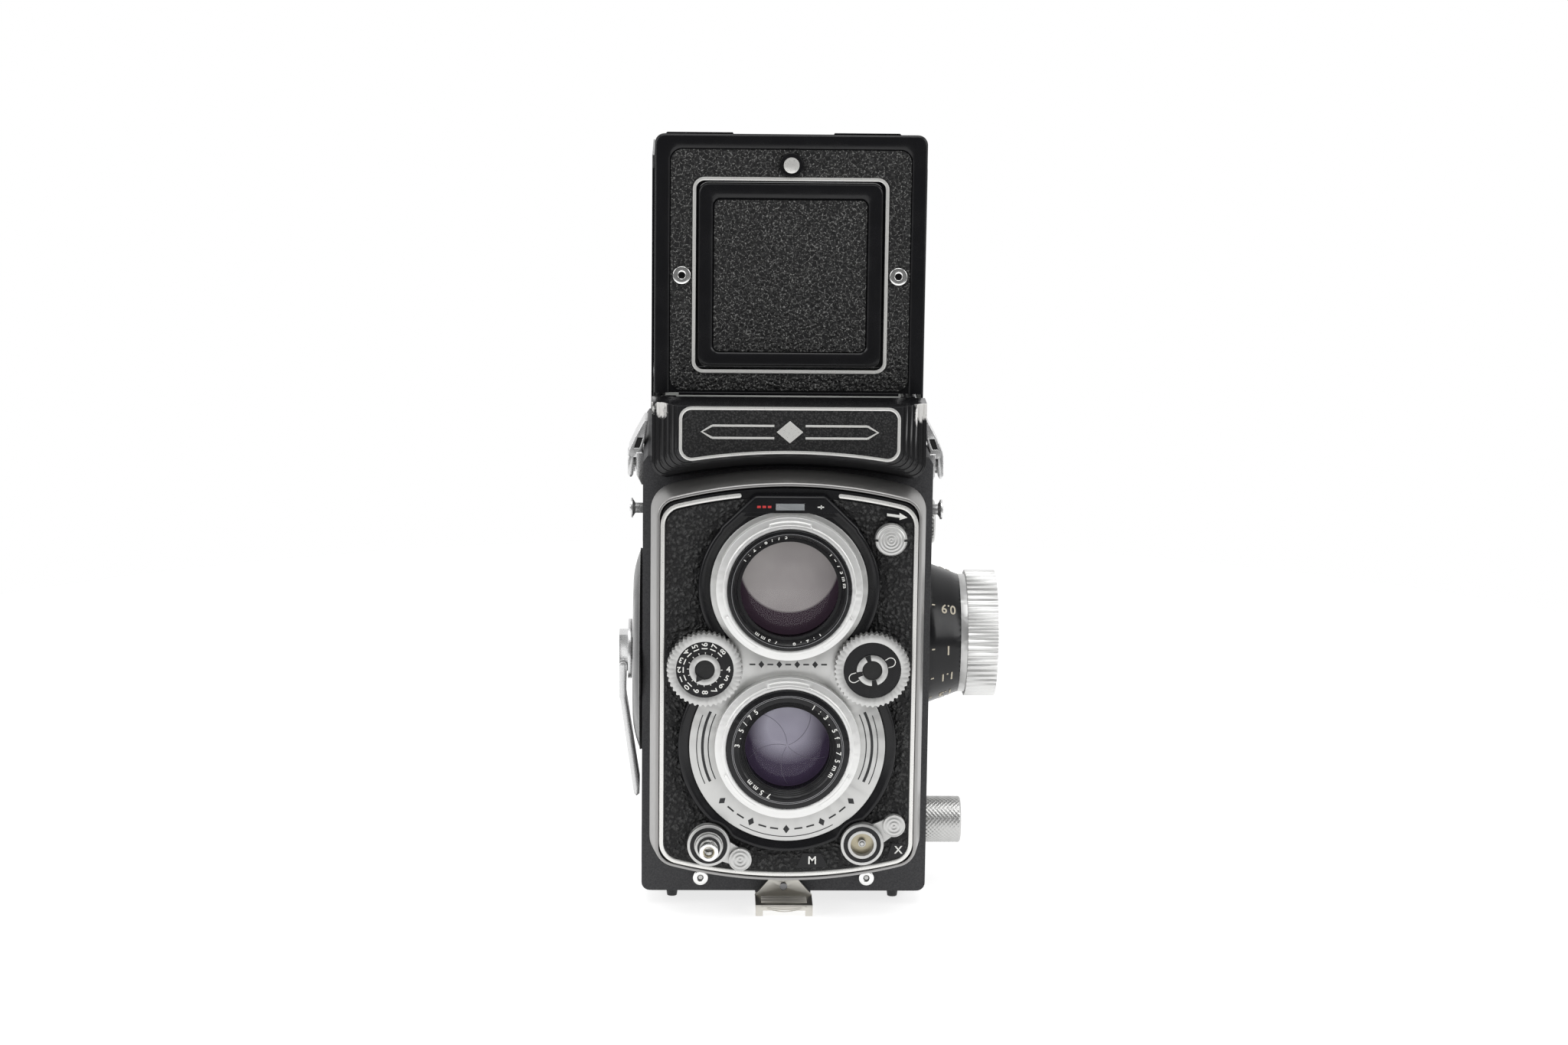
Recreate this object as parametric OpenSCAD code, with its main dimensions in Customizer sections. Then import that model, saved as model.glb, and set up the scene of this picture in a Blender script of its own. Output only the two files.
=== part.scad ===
/* [Body] */
// Width of the camera body
body_w = 75.2; // [74:0.1:78]
// Front face of the body, along Y
body_front = -30; // [-31:0.5:-29]
// Rear edge of the body casting, along Y
body_back = 37.5; // [37:0.5:38]
// Lower edge of the body casting
body_bottom = 4.1; // [4:0.1:4.5]
// Top deck of the body casting
deck_z = 121.5; // [121:0.1:122]
// Thickness of the body side walls
wall = 2.4; // [2:0.1:2.6]

/* [Lenses] */
// Height of the taking lens axis
taking_z = 49.2; // [49:0.1:49.6]
// Distance between the two lens axes
lens_gap = 42; // [41:0.5:42]
// Outer radius of the lens name rings
name_ring_r = 15.75; // [15:0.05:16]
// Outer radius of the filter bayonets
bayonet_r = 18.75; // [18:0.05:19]
// Front edge of the viewing lens barrel, along Y
barrel_front = -53.6; // [-54:0.1:-53]

/* [Front standard] */
// Front plane of the lens board, along Y
board_front = -46.6; // [-47:0.1:-46]
// Rear edge of the lens board rim, along Y
board_back = -36.6; // [-37:0.1:-36.6]
// Half width of the rim at its rear edge
rim_half_w = 35.5; // [35:0.1:36]
// Radius of the arched top and bottom
arch_r = 120; // [110:5:130]

/* [Wheels and knobs] */
// Radius of the two setting wheels
wheel_r = 9.75; // [9:0.05:10]
// Radius of the focusing knob
focus_r = 16.9; // [16:0.1:17]
// Height of the focusing knob axis
focus_z = 68.4; // [68:0.1:69]
// Height of the crank axis
crank_z = 63.6; // [63:0.1:64]
// Position of the side axes, along Y
side_y = -4; // [-5:0.5:-3]

/* [Hood] */
// Height of the open lid's tip
lid_top = 204.3; // [203:0.1:205]
// Half width of the lid
lid_half_w = 34.9; // [34.5:0.1:34.9]
// Front face of the lid, along Y
lid_front = -25.2; // [-25.4:0.1:-25]
// Height of the rear panel's tip
rear_top = 197.3; // [197:0.1:199]
// Thickness of the folding side and rear panels
panel_t = 0.5; // [0.4:0.05:0.5]

/* [Hidden] */
$fn = 64;

eps = 0.01;
body_half_w = body_w / 2;
inner_half_w = body_half_w - wall;
view_z = taking_z + lens_gap;
leather_t = 0.6;
leather_x = body_half_w - leather_t;
side_x = body_half_w + 0.1;
front_wall = 2;
wall_inner_y = body_front + front_wall;
wheel_x = 21.45;
wheel_z = 70.1;
film_y = 36;
take_y = 24;
take_z = 93;
supply_y = -15;
supply_z = 19.5;
stem_r = 3.2;
stem_hole_r = 3.28;
post_r = 2;
post_hole_r = 2.06;
post_x = 27.5;
post_low_z = 40;
post_high_z = 108;
focus_shaft_r = 4;
focus_hole_r = 4.06;
crank_shaft_r = 3;
crank_hole_r = 3.06;
lens_hole_r = 19.2;
door_inner_y = 37.7;
door_outer_y = 43.3;
hinge_y = 43.8;
hinge_z = 117.8;
hood_back = 44.7;
left_hinge_z = 130.6;
right_hinge_z = 131.3;
rear_hinge_z = 132;
rear_y = 44.2;
lid_hinge_z = 137;
lid_hinge_y = -24.9;
ledge_z = 136.3;
nameplate_arch_r = 160;
panel_x = 35.4;
knuckle_r = 0.35;
lid_t = 1;
flap_z = 144.2;
flap_y = -24.4;
flap_top = 191.9;
flap_half_w = 23.8;
arm_z = 189.5;
arm_y = -22.6;
rim_top = 119.4;
rim_bottom = 10.6;
rim_taper = 1.6;
plate_t = 2.4;
plate_back = board_front + plate_t;
surround_front = board_front - 2.3;
pocket_y = board_front - 1.4;
flange_front = -51.6;
socket_clear_r = 5.8;
escutcheon_front = pocket_y - 0.6;
release_x = -20.1;
release_z = 22.6;
flash_x = 19.7;
flash_z = 23;
timer_x = 25.8;
timer_z = 103.9;
lever_back = board_front - 0.8;
latch_y = -26.3;
latch_z = 2.4;
stud_y = -20;
stud_z = 105.6;
pivot_x = -42.9;
pivot_z = crank_z - 3.6;

// ---- Shared shapes ----

// Points along an arc
function arc(cx, cy, r, a0, a1, n) =
    [for (i = [0:n]) let (a = a0 + (a1 - a0) * i / n) [cx + r * cos(a), cy + r * sin(a)]];

// Rectangle with rounded corners, as points
function rounded(x0, x1, y0, y1, r) = concat(
    arc(x1 - r, y1 - r, r, 0, 90, 8), arc(x0 + r, y1 - r, r, 90, 180, 8),
    arc(x0 + r, y0 + r, r, 180, 270, 8), arc(x1 - r, y0 + r, r, 270, 360, 8));

// Upright outline with arched top and bottom and rounded corners, as points
function arched(w, low, high, r, big = arch_r) =
    let (
        run = w - r,
        rise = sqrt((big - r) * (big - r) - run * run),
        top = high - big + rise,
        bottom = low + big - rise,
        lean = asin(run / (big - r)))
    concat(
        arc(run, top, r, 0, 90 - lean, 8),
        arc(0, high - big, big, 90 - lean, 90 + lean, 24),
        arc(-run, top, r, 90 + lean, 180, 8),
        arc(-run, bottom, r, 180, 270 - lean, 8),
        arc(0, low + big, big, 270 - lean, 270 + lean, 24),
        arc(run, bottom, r, 270 + lean, 360, 8));

// Plate that hangs over an arch: square or rounded top, rounded lower corners and a hollowed bottom
function hanging(w, low, high, top_r, r, big) =
    let (
        run = w - r,
        base = low + r - sqrt((big + r) * (big + r) - run * run),
        lean = asin(run / (big + r)))
    concat(
        top_r > 0 ? concat(arc(w - top_r, high - top_r, top_r, 0, 90, 8), arc(top_r - w, high - top_r, top_r, 90, 180, 8))
                  : [[w, high], [-w, high]],
        arc(-run, low + r, r, 180, 270 + lean, 10),
        arc(0, base, big, 90 + lean, 90 - lean, 24),
        arc(run, low + r, r, 270 - lean, 360, 10));

// Outline of a ribbed or knurled wheel, as points
function ribbed(n, low_r, high_r) =
    [for (i = [0:n - 1], k = [0:3])
        let (a = 360 * (i + [0.08, 0.3, 0.58, 0.8][k]) / n, r = k == 0 || k == 1 ? high_r : low_r)
        [r * cos(a), r * sin(a)]];

module along_x(x0, x1) { translate([x0, 0, 0]) rotate([90, 0, 90]) linear_extrude(x1 - x0) children(); }
module along_y(y0, y1) { translate([0, y1, 0]) rotate([90, 0, 0]) linear_extrude(y1 - y0) children(); }
module along_z(z0, z1) { translate([0, 0, z0]) linear_extrude(z1 - z0) children(); }

// Cylinder along X, from x0 to x1
module rod_x(y, z, r, x0, x1) { translate([x0, y, z]) rotate([0, 90, 0]) cylinder(r = r, h = x1 - x0); }

// Cylinder along Y, from y0 to y1
module rod_y(x, z, r, y0, y1) { translate([x, y1, z]) rotate([90, 0, 0]) cylinder(r = r, h = y1 - y0); }

// Box between two opposite corners
module block(a, b) { translate(a) cube(b - a); }

// ---- Body ----

module body_casting() color("#2c2c2e") {
    difference() {
        union() {
            along_y(body_front, body_back) polygon(concat(
                [[body_half_w, deck_z - 1.8], [body_half_w - 1.2, deck_z],
                 [1.2 - body_half_w, deck_z], [-body_half_w, deck_z - 1.8]],
                arc(2.2 - body_half_w, body_bottom + 2.2, 2.2, 180, 270, 6),
                arc(body_half_w - 2.2, body_bottom + 2.2, 2.2, 270, 360, 6)));
            block([-35, body_back - eps, hinge_z + 0.7], [35, hinge_y, deck_z]);
            // collar that the lens board slides over
            along_y(board_back - 1, body_front) difference() {
                polygon(arched(31.9, 14.3, 115.7, 4.8));
                polygon(arched(30.3, 15.9, 114.1, 3.4));
            }
        }
        // film and mirror chambers, open at the back and the bottom
        difference() {
            block([-inner_half_w, wall_inner_y, body_bottom - 1], [inner_half_w, body_back + 1, deck_z - 2]);
            for (s = [[supply_y, supply_z], [take_y, take_z]])
                rod_x(s[0], s[1], stem_r, -inner_half_w - 1, -inner_half_w + 5);
        }
        // opening under the focusing screen
        block([-31, -23, deck_z - 3], [31, 36, deck_z + 1]);
        // lens openings and guide post holes in the front wall
        for (z = [taking_z, view_z]) rod_y(0, z, lens_hole_r, body_front - 1, wall_inner_y + 1);
        for (x = [-post_x, post_x], z = [post_low_z, post_high_z])
            rod_y(x, z, post_hole_r, body_front - 1, wall_inner_y + 1);
        // side bores
        rod_x(side_y, focus_z, focus_hole_r, inner_half_w - 1, body_half_w + 1);
        rod_x(take_y, take_z, stem_hole_r, inner_half_w - 1, body_half_w + 1);
        rod_x(supply_y, supply_z, stem_hole_r, inner_half_w - 1, body_half_w + 1);
        rod_x(side_y, crank_z, crank_hole_r, -body_half_w - 1, 1 - inner_half_w);
        // shallow seats for the side leathers
        for (s = [-1, 1]) along_x(s > 0 ? leather_x : -body_half_w - 1, s > 0 ? body_half_w + 1 : -leather_x)
            polygon(rounded(-26, 34, 9, 116, 3));
    }
}

module side_leather(s) {
    difference() {
        along_x(s > 0 ? leather_x : -body_half_w - 0.05, s > 0 ? body_half_w + 0.05 : -leather_x)
            polygon(rounded(-25.95, 33.95, 9.05, 115.95, 3));
        rod_x(stud_y, stud_z, 1.4, -45, 45);
        if (s > 0) {
            rod_x(side_y, focus_z, 6, 30, 45);
            rod_x(take_y, take_z, 4, 30, 45);
            rod_x(supply_y, supply_z, 4, 30, 45);
        } else {
            rod_x(side_y, crank_z, 5, -45, -30);
        }
    }
}

module body_leather() color("#1b1b1c") for (s = [-1, 1]) side_leather(s);

// Pyramid between the lens and the film gate
module light_cone(low, high, y0, y1) {
    intersection() {
        along_z(0, 130) polygon([[-low, y0], [low, y0], [high, y1], [-high, y1]]);
        along_x(-60, 60) polygon([[y0, taking_z - low], [y1, taking_z - high],
                                  [y1, taking_z + high], [y0, taking_z + low]]);
    }
}

module dark_chamber() color("#161617") difference() {
    union() {
        light_cone(14, 30.5, -23, film_y - 1.5);
        block([-35.1, film_y - 1.6, 18], [35.1, film_y, 80]);
        rod_y(0, taking_z, 15.5, wall_inner_y + 0.1, -20);
        for (z = [15.6, 82.4]) rod_x(film_y - 1.6, z, 1.8, -33.5, 33.5);
        for (z = [15.6, 82.4], x = [-34.9, 32.9]) block([x, film_y - 4, z - 3], [x + 2, film_y, z + 3]);
    }
    light_cone(12.8, 28, -23.1, film_y - 0.5);
    block([-28, film_y - 3, taking_z - 28], [28, film_y + 1, taking_z + 28]);
    rod_y(0, taking_z, 12.5, wall_inner_y - 1, -15);
}

module reflex_mirror() color("#cfd6da")
    translate([0, 2, view_z]) rotate([45, 0, 0]) translate([-35.1, -30, -2]) cube([70.2, 60, 2]);

// Stepped casting in front of the hood, which hangs over the lens board's arch
module nameplate_casting() color("#0d0d0f") {
    steps = 6;
    difference() {
        for (i = [0:steps - 1]) let (front = -34 - i)
            along_y(front, i == 0 ? lid_front - 0.4 : front + 2)
                polygon(hanging(35.4 - 1.3 * i, 116.7 + 0.95 * i, ledge_z, 0, 4, nameplate_arch_r));
        block([-40, body_front, 100], [40, -20, deck_z]);
    }
}

module nameplate_outline(inset)
    polygon(hanging(28.4 - inset, 122 + inset, ledge_z - 0.15 - inset, 3.2 - inset, 3.3 - inset,
        nameplate_arch_r + inset));

module nameplate_trim() color("#e4e4e2") along_y(-39.5, -39) difference() {
    nameplate_outline(0);
    nameplate_outline(0.85);
}

module nameplate_panel() color("#1a1a1b") along_y(-39.3, -39) nameplate_outline(0.87);

module front_studs() color("#d9d9d6") for (x = [-22, 22]) difference() {
    rod_y(x, 7.9, 2, body_front - 1.3, body_front);
    rod_y(x, 7.9, 0.8, body_front - 2, body_front + 1);
}

// Chrome bracket that the strap clips into; s is the side of the body
module strap_lug(s) {
    mirror([s < 0 ? 1 : 0, 0, 0]) difference() {
        union() {
            // base plate with its tapered foot
            along_y(-10, 2) polygon([[side_x, 118.2], [side_x, 109.7], [side_x + 0.5, 109.7],
                [side_x + 1.8, 112.3], [side_x + 1.8, 118.2]]);
            // arm that leans in towards the hood
            along_y(-9.5, 1.5) polygon([[side_x + 0.1, 117], [side_x + 0.4, 119], [37.1, 122.4], [36.5, 127],
                [37.4, 127], [39.9, 122.4], [41.5, 118.9], [41.7, 117]]);
            // guard plate and the boss behind it
            along_y(-9.5, 1.5) polygon([[40.3, 117.5], [40.3, 112.5], [40.8, 111.7], [41.3, 111.7],
                [41.8, 112.5], [41.8, 117.5]]);
            rod_x(-4, 114.2, 2.1, side_x + 0.2, 40.8);
        }
        // slot of the strap clip, seen from the front and the back
        for (y = [[-11, -6], [-2, 3]]) along_y(y[0], y[1])
            polygon([[37.8, 122.3], [39.2, 122.3], [40.15, 119.5], [38.75, 119.5]]);
    }
}

module strap_lug_left() color("#dcdcd9") strap_lug(-1);
module strap_lug_right() color("#dcdcd9") strap_lug(1);

module crank_plate() color("#101012") translate([-side_x, side_y, crank_z]) rotate([0, -90, 0])
    rotate_extrude() polygon(concat(
        [[crank_hole_r, 0], [27, 0], [27, 0.7]],
        arc(17, -22.2, 24.8, 66, 90, 6),
        [[crank_hole_r, 2.6]]));

// Peg on the side of the body, for a carrying case
module case_stud(s) mirror([s < 0 ? 1 : 0, 0, 0]) {
    rod_x(stud_y, stud_z, 1.35, leather_x, 39.7);
    translate([39.6, stud_y, stud_z]) rotate([0, 90, 0]) cylinder(r1 = 1.3, r2 = 2.5, h = 0.8);
    rod_x(stud_y, stud_z, 2.6, 40.3, 40.8);
    rod_x(stud_y, stud_z, 0.9, 40.7, 41.1);
}

module case_stud_left() color("#dcdcd9") case_stud(-1);
module case_stud_right() color("#dcdcd9") case_stud(1);

// ---- Hood ----

module hood_base() color("#151517") difference() {
    union() {
        block([-35.4, -25.5, deck_z], [35.4, hood_back, 130.2]);
        // hinge blocks for the lid, beside its knuckle
        for (x = [-33, 29]) block([x, -25.5, 130.1], [x + 4, -23.9, ledge_z]);
        // low lugs under the rear panel
        for (x = [-30, 26]) block([x, rear_y - 0.3, 130.1], [x + 4, rear_y + 0.5, 131.6]);
    }
    block([-30, -19, deck_z - 1], [30, 36, 131]);
    block([-32.1, -21.1, 126.5], [32.1, 38.1, 131]);
}

module ground_glass() color("#c9cfca") block([-32, -21, 126.5], [32, 38, 128.6]);

module lid_outline() {
    polygon(concat(
        arc(lid_half_w - 2.4, lid_top - 2.4, 2.4, 0, 90, 6),
        arc(2.4 - lid_half_w, lid_top - 2.4, 2.4, 90, 180, 6),
        [[-lid_half_w, 137.3], [lid_half_w, 137.3]]));
}

module hood_lid() color("#0e0e10") difference() {
    union() {
        along_y(lid_front, lid_front + lid_t) lid_outline();
        rod_x(lid_hinge_y + 0.1, lid_hinge_z + 0.1, 0.55, -28.5, 28.5);
        block([-28, lid_front, 136.9], [28, lid_front + lid_t, 137.5]);
        // raised border round the leather
        along_y(lid_front - 0.65, lid_front + 0.1) difference() {
            lid_outline();
            polygon(rounded(-30.9, 30.9, 130, 200.5, 3));
        }
    }
    along_y(-30, -20) polygon(rounded(-24.25, 24.25, 143.5, 192.3, 2));
    rod_y(0, 196.6, 1.06, -30, -20);
}

module hood_lid_leather() color("#1b1b1c") difference() {
    along_y(lid_front - 0.4, lid_front) difference() {
        polygon(rounded(-30.8, 30.8, 138, 200.4, 3));
        polygon(rounded(-25.25, 25.25, 142.45, 193.45, 3));
        translate([0, 196.6]) circle(3.1);
        for (x = [-27.9, 27.9]) translate([x, 168]) circle(2.35);
    }
}

module finder_frame_trim() color("#e4e4e2") along_y(lid_front - 0.8, lid_front) difference() {
    polygon(rounded(-25.2, 25.2, 142.5, 193.4, 3));
    polygon(rounded(-24.3, 24.3, 143.4, 192.5, 2.2));
}

module hood_eyelets() color("#d9d9d6") for (x = [-27.9, 27.9]) difference() {
    rod_y(x, 168, 2.3, lid_front - 1, lid_front);
    rod_y(x, 168, 0.9, lid_front - 2, lid_front + 1);
}

module magnifier_button() color("#d9d9d6") {
    rod_y(0, 196.6, 2, lid_front - 1.9, lid_front - 1);
    rod_y(0, 196.6, 1, lid_front - 1.1, lid_front + lid_t + 1);
}

module finder_flap() color("#0b0b0d") {
    difference() {
        union() {
            along_y(flap_y - 1.1, flap_y + 0.5) polygon(rounded(-flap_half_w, flap_half_w, 144, flap_top, 1.8));
            rod_x(flap_y, flap_z, 0.45, -22, 22);
        }
        along_y(flap_y - 2, flap_y - 0.2) polygon(rounded(-19.7, 19.7, 148, 187.5, 1.5));
    }
    // bearings of the magnifier arm
    for (x = [-9.6, 8.2]) difference() {
        block([x, flap_y + 0.4, arm_z - 1.2], [x + 1.4, arm_y + 1.1, arm_z + 1.2]);
        rod_x(arm_y, arm_z, 0.56, x - 1, x + 3);
    }
}

module finder_flap_leather() color("#1b1b1c")
    along_y(flap_y - 0.75, flap_y - 0.2) polygon(rounded(-19.6, 19.6, 148.1, 187.4, 1.5));

module magnifier_arm() color("#8d8f92") difference() {
    union() {
        rod_x(arm_y, arm_z, 0.5, -9.4, 9.4);
        rod_x(arm_y, arm_z, 0.85, -7.8, 7.8);
        block([-5, arm_y - 0.5, arm_z - 11], [5, arm_y + 0.3, arm_z]);
        rod_y(0, arm_z - 22, 13, arm_y - 0.7, arm_y + 0.9);
    }
    rod_y(0, arm_z - 22, 11.5, arm_y - 2, arm_y + 3);
}

module magnifier_lens() color("#dfe8ee") intersection() {
    rod_y(0, arm_z - 22, 11.45, arm_y - 0.7, arm_y + 2);
    translate([0, arm_y - 48.6, arm_z - 22]) sphere(50, $fn = 360);
}

module side_panel(hinge) {
    polygon([[-14, hinge + 1], [-15, rear_top - 3], [-12, rear_top], [43, rear_top - 2],
             [43.6, rear_top - 3], [43.6, hinge - 0.25], [-14, hinge - 0.25]]);
}

module hood_side_left() color("#131315") {
    along_x(-panel_x - panel_t / 2, -panel_x + panel_t / 2) side_panel(left_hinge_z);
    rod_y(-panel_x, left_hinge_z, knuckle_r, -13.4, 43);
}

module hood_side_right() color("#131315") {
    along_x(panel_x - panel_t / 2, panel_x + panel_t / 2) side_panel(right_hinge_z);
    rod_y(panel_x, right_hinge_z, knuckle_r, -13.4, 43);
}

module hood_rear_panel() color("#131315") difference() {
    union() {
        along_y(rear_y - panel_t / 2, rear_y + panel_t / 2)
            polygon([[-lid_half_w, rear_hinge_z - 0.25], [lid_half_w, rear_hinge_z - 0.25],
                [lid_half_w, rear_top - 3], [lid_half_w - 3, rear_top], [14, rear_top], [11.5, rear_top - 4],
                [-11.5, rear_top - 4], [-14, rear_top], [3 - lid_half_w, rear_top], [-lid_half_w, rear_top - 3]]);
        rod_x(rear_y, rear_hinge_z, knuckle_r, -34.2, 34.2);
    }
    rod_y(0, 177.5, 3, rear_y - 1, rear_y + 1);
}

// ---- Front standard ----

module standard_casting() color("#8f9092") difference() {
    union() {
        difference() {
            intersection() {
                along_y(board_front, board_back) polygon(arched(rim_half_w, rim_bottom, rim_top, 7));
                along_z(0, 130) polygon([[-rim_half_w, board_back], [rim_half_w, board_back],
                    [rim_half_w - rim_taper, board_front], [rim_taper - rim_half_w, board_front]]);
                translate([0, board_back, rim_top - arch_r]) rotate([90, 0, 0])
                    cylinder(r1 = arch_r, r2 = arch_r - rim_taper, h = board_back - board_front, $fn = 128);
                translate([0, board_back, rim_bottom + arch_r]) rotate([90, 0, 0])
                    cylinder(r1 = arch_r, r2 = arch_r - rim_taper, h = board_back - board_front, $fn = 128);
            }
            along_y(plate_back, board_back + 1) polygon(arched(32.4, 13.8, 116.2, 5));
        }
        // guide posts that run through the body's front wall
        for (x = [-post_x, post_x], z = [post_low_z, post_high_z])
            rod_y(x, z, post_r, plate_back - 0.5, -16);
    }
    for (z = [taking_z, view_z]) rod_y(0, z, name_ring_r + 0.05, board_front - 1, plate_back + 1);
    for (x = [-wheel_x, wheel_x]) rod_y(x, wheel_z, 1.56, board_front - 1, plate_back + 1);
    rod_y(timer_x, timer_z, 1.56, board_front - 1, plate_back + 1);
    rod_y(release_x, release_z, 2.5, board_front - 1, plate_back + 1);
}

// Raised ridge round both lenses
module surround_solid(y0, y1) {
    rod_y(0, view_z - 0.3, 23.3, y0, y1);
    rod_y(0, taking_z - 0.4, 28.2, y0, y1);
    along_y(y0, y1) polygon([[-19, 80], [19, 80], [24, 62], [-24, 62]]);
    along_y(y0, y1) polygon([[-9, 114.9], [9, 114.9], [17.5, 106.8], [20.5, 100], [-20.5, 100], [-17.5, 106.8]]);
}

// Bright plate inside the ridge
module escutcheon_solid(y0, y1) {
    rod_y(0, view_z - 0.3, 20.2, y0, y1);
    rod_y(0, taking_z - 0.4, 25.3, y0, y1);
    along_y(y0, y1) polygon([[-14.6, 78.5], [14.6, 78.5], [21.6, 61], [-21.6, 61]]);
}

module lens_bores(r, y0, y1) for (z = [taking_z, view_z]) rod_y(0, z, r, y0, y1);

module wheel_bores(r, y0, y1) for (x = [-wheel_x, wheel_x]) rod_y(x, wheel_z, r, y0, y1);

module lens_surround() color("#0b0b0d") difference() {
    surround_solid(surround_front, board_front);
    lens_bores(name_ring_r + 0.05, surround_front - 1, board_front + 1);
    wheel_bores(1.56, surround_front - 1, board_front + 1);
    escutcheon_solid(surround_front - 1, pocket_y);
    block([-3.7, surround_front - 1, 111.2], [3.7, surround_front + 1, 113]);
    // clearance round the two sockets and their levers
    rod_y(release_x, release_z, socket_clear_r, surround_front - 1, board_front + 1);
    rod_y(flash_x, flash_z, socket_clear_r, surround_front - 1, board_front + 1);
}

module indicator_window() color("#dfe6ea")
    block([-3.65, surround_front - 0.1, 111.25], [3.65, surround_front + 0.95, 112.95]);

module escutcheon() color("#c4c4c1") difference() {
    escutcheon_solid(escutcheon_front, pocket_y);
    lens_bores(name_ring_r + 0.05, escutcheon_front - 1, pocket_y + 1);
    wheel_bores(1.56, escutcheon_front - 1, pocket_y + 1);
}

module board_leather() color("#1b1b1c") difference() {
    along_y(board_front - 0.35, board_front) polygon(arched(31.5, 15, 114.2, 4.6));
    difference() {
        surround_solid(board_front - 1, board_front + 1);
        rod_y(release_x, release_z, socket_clear_r, board_front - 2, board_front + 2);
        rod_y(flash_x, flash_z, socket_clear_r, board_front - 2, board_front + 2);
    }
    wheel_bores(3, board_front - 1, board_front + 1);
    rod_y(timer_x, timer_z, 2.2, board_front - 1, board_front + 1);
    rod_y(release_x, release_z, 4.7, board_front - 1, board_front + 1);
    rod_y(flash_x, flash_z, 4.7, board_front - 1, board_front + 1);
}

module board_trim() color("#e4e4e2") along_y(board_front - 0.6, board_front) difference() {
    polygon(arched(32.95, 13.4, 115.8, 5.6));
    polygon(arched(31.85, 14.5, 114.7, 4.8));
    translate([-11.6, 105]) square([23.2, 20]);
}

// Wide flange with a proud ring in front of it, which carries three lugs
module bayonet(z) difference() {
    union() {
        rod_y(0, z, bayonet_r, flange_front, escutcheon_front);
        rod_y(0, z, bayonet_r - 1.8, -52.8, flange_front + 0.1);
        intersection() {
            rod_y(0, z, bayonet_r - 0.95, -52.7, flange_front + 0.1);
            for (a = [90, 222, 318]) translate([0, 0, z]) rotate([0, -a, 0])
                translate([bayonet_r - 4, -53, -5.3]) cube([6, 3, 10.6]);
        }
    }
    rod_y(0, z, name_ring_r + 0.1, -54, -45);
}

module view_bayonet() color("#e9e9e6") bayonet(view_z);
module taking_bayonet() color("#e9e9e6") bayonet(taking_z);

module view_barrel() color("#0c0c0e") difference() {
    rod_y(0, view_z, name_ring_r, barrel_front, -41);
    translate([0, barrel_front, view_z]) rotate([-90, 0, 0]) translate([0, 0, -eps])
        cylinder(r1 = 14.4, r2 = 13.3, h = 1.6);
    rod_y(0, view_z, 13.3, barrel_front + 1, -46.5);
    rod_y(0, view_z, 12, -47, -40);
}

module view_glass() color("#8c8a90") intersection() {
    rod_y(0, view_z, 13.25, -53, -46.5);
    translate([0, -51.3 + 34, view_z]) sphere(34, $fn = 360);
}

module taking_barrel() color("#0c0c0e") difference() {
    rod_y(0, taking_z, name_ring_r, barrel_front + 0.2, plate_back);
    translate([0, barrel_front + 0.2, taking_z]) rotate([-90, 0, 0]) translate([0, 0, -eps])
        cylinder(r1 = 12.9, r2 = 11, h = 1.9);
    rod_y(0, taking_z, 11, barrel_front + 1.9, -47.5);
    rod_y(0, taking_z, 10, -48, plate_back + 1);
}

module taking_glass() color("#7d7a8c") intersection() {
    rod_y(0, taking_z, 10.95, -52, -47.5);
    translate([0, -50.9 + 27, taking_z]) sphere(27, $fn = 360);
}

module shutter_housing() color("#3a3a3d") difference() {
    rod_y(0, taking_z, 18.9, plate_back, -35);
    rod_y(0, taking_z, 10, plate_back - 1, -34);
    rod_y(0, taking_z, 17, -42.6, -41.6);
}

module shutter_blades() color("#4a4a4e")
    for (i = [0:4]) translate([0, -42.4 + 0.12 * i, taking_z]) rotate([0, 72 * i + 10, 0])
        rotate([-90, 0, 0]) linear_extrude(0.12)
            polygon(concat([[0, 0]], arc(0, 0, 16.5, 0, 72, 12)));

// Knurled setting wheel on its shaft
module setting_wheel(x) {
    difference() {
        union() {
            translate([x, 0, wheel_z]) along_y(-52.2, -49.3) polygon(ribbed(44, wheel_r - 0.45, wheel_r));
            rod_y(x, wheel_z, 1.5, -50, -42);
        }
        rod_y(x, wheel_z, 7.4, -53, -51.7);
    }
    difference() {
        rod_y(x, wheel_z, 4, -52.4, -51.6);
        rod_y(x, wheel_z, 2.6, -53, -52);
    }
}

module aperture_wheel() color("#cfcfcc") setting_wheel(-wheel_x);
module speed_wheel() color("#cfcfcc") setting_wheel(wheel_x);

module release_socket() color("#d2d2cf") difference() {
    union() {
        rod_y(release_x, release_z, 4.6, -49.5, board_front);
        rod_y(release_x, release_z, 5.55, -50.2, -48.6);
        rod_y(release_x, release_z, 3.5, -52, -50);
    }
    rod_y(release_x, release_z, 2.5, -60, -40);
}

module release_button() color("#dcdcd9") difference() {
    rod_y(release_x, release_z, 2.42, -56, -42);
    rod_y(release_x, release_z, 1.5, -57, -51);
}

// Flat lever with a ribbed finger disc; dx and dz place the disc from the pivot
module socket_lever(x, z, dx, dz, disc_r) {
    reach = sqrt(dx * dx + dz * dz);
    lean = atan2(dz, dx);
    difference() {
        union() {
            rod_y(x, z, 5.5, lever_back - 0.9, lever_back);
            translate([x, 0, z]) rotate([0, -lean, 0])
                along_y(lever_back - 0.9, lever_back)
                    polygon([[0, -4.2], [reach, -2.3], [reach, 2.3], [0, 4.2]]);
            rod_y(x + dx, z + dz, disc_r, lever_back - 1.9, lever_back);
            rod_y(x + dx, z + dz, disc_r - 0.9, lever_back - 2.4, lever_back);
        }
        rod_y(x, z, 4.68, -60, -40);
    }
}

module release_lock() color("#cfcfcc") socket_lever(release_x, release_z, 8.2, -4, 3);
module sync_lever() color("#cfcfcc") socket_lever(flash_x, flash_z, 8.2, 4.8, 2.9);

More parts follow.
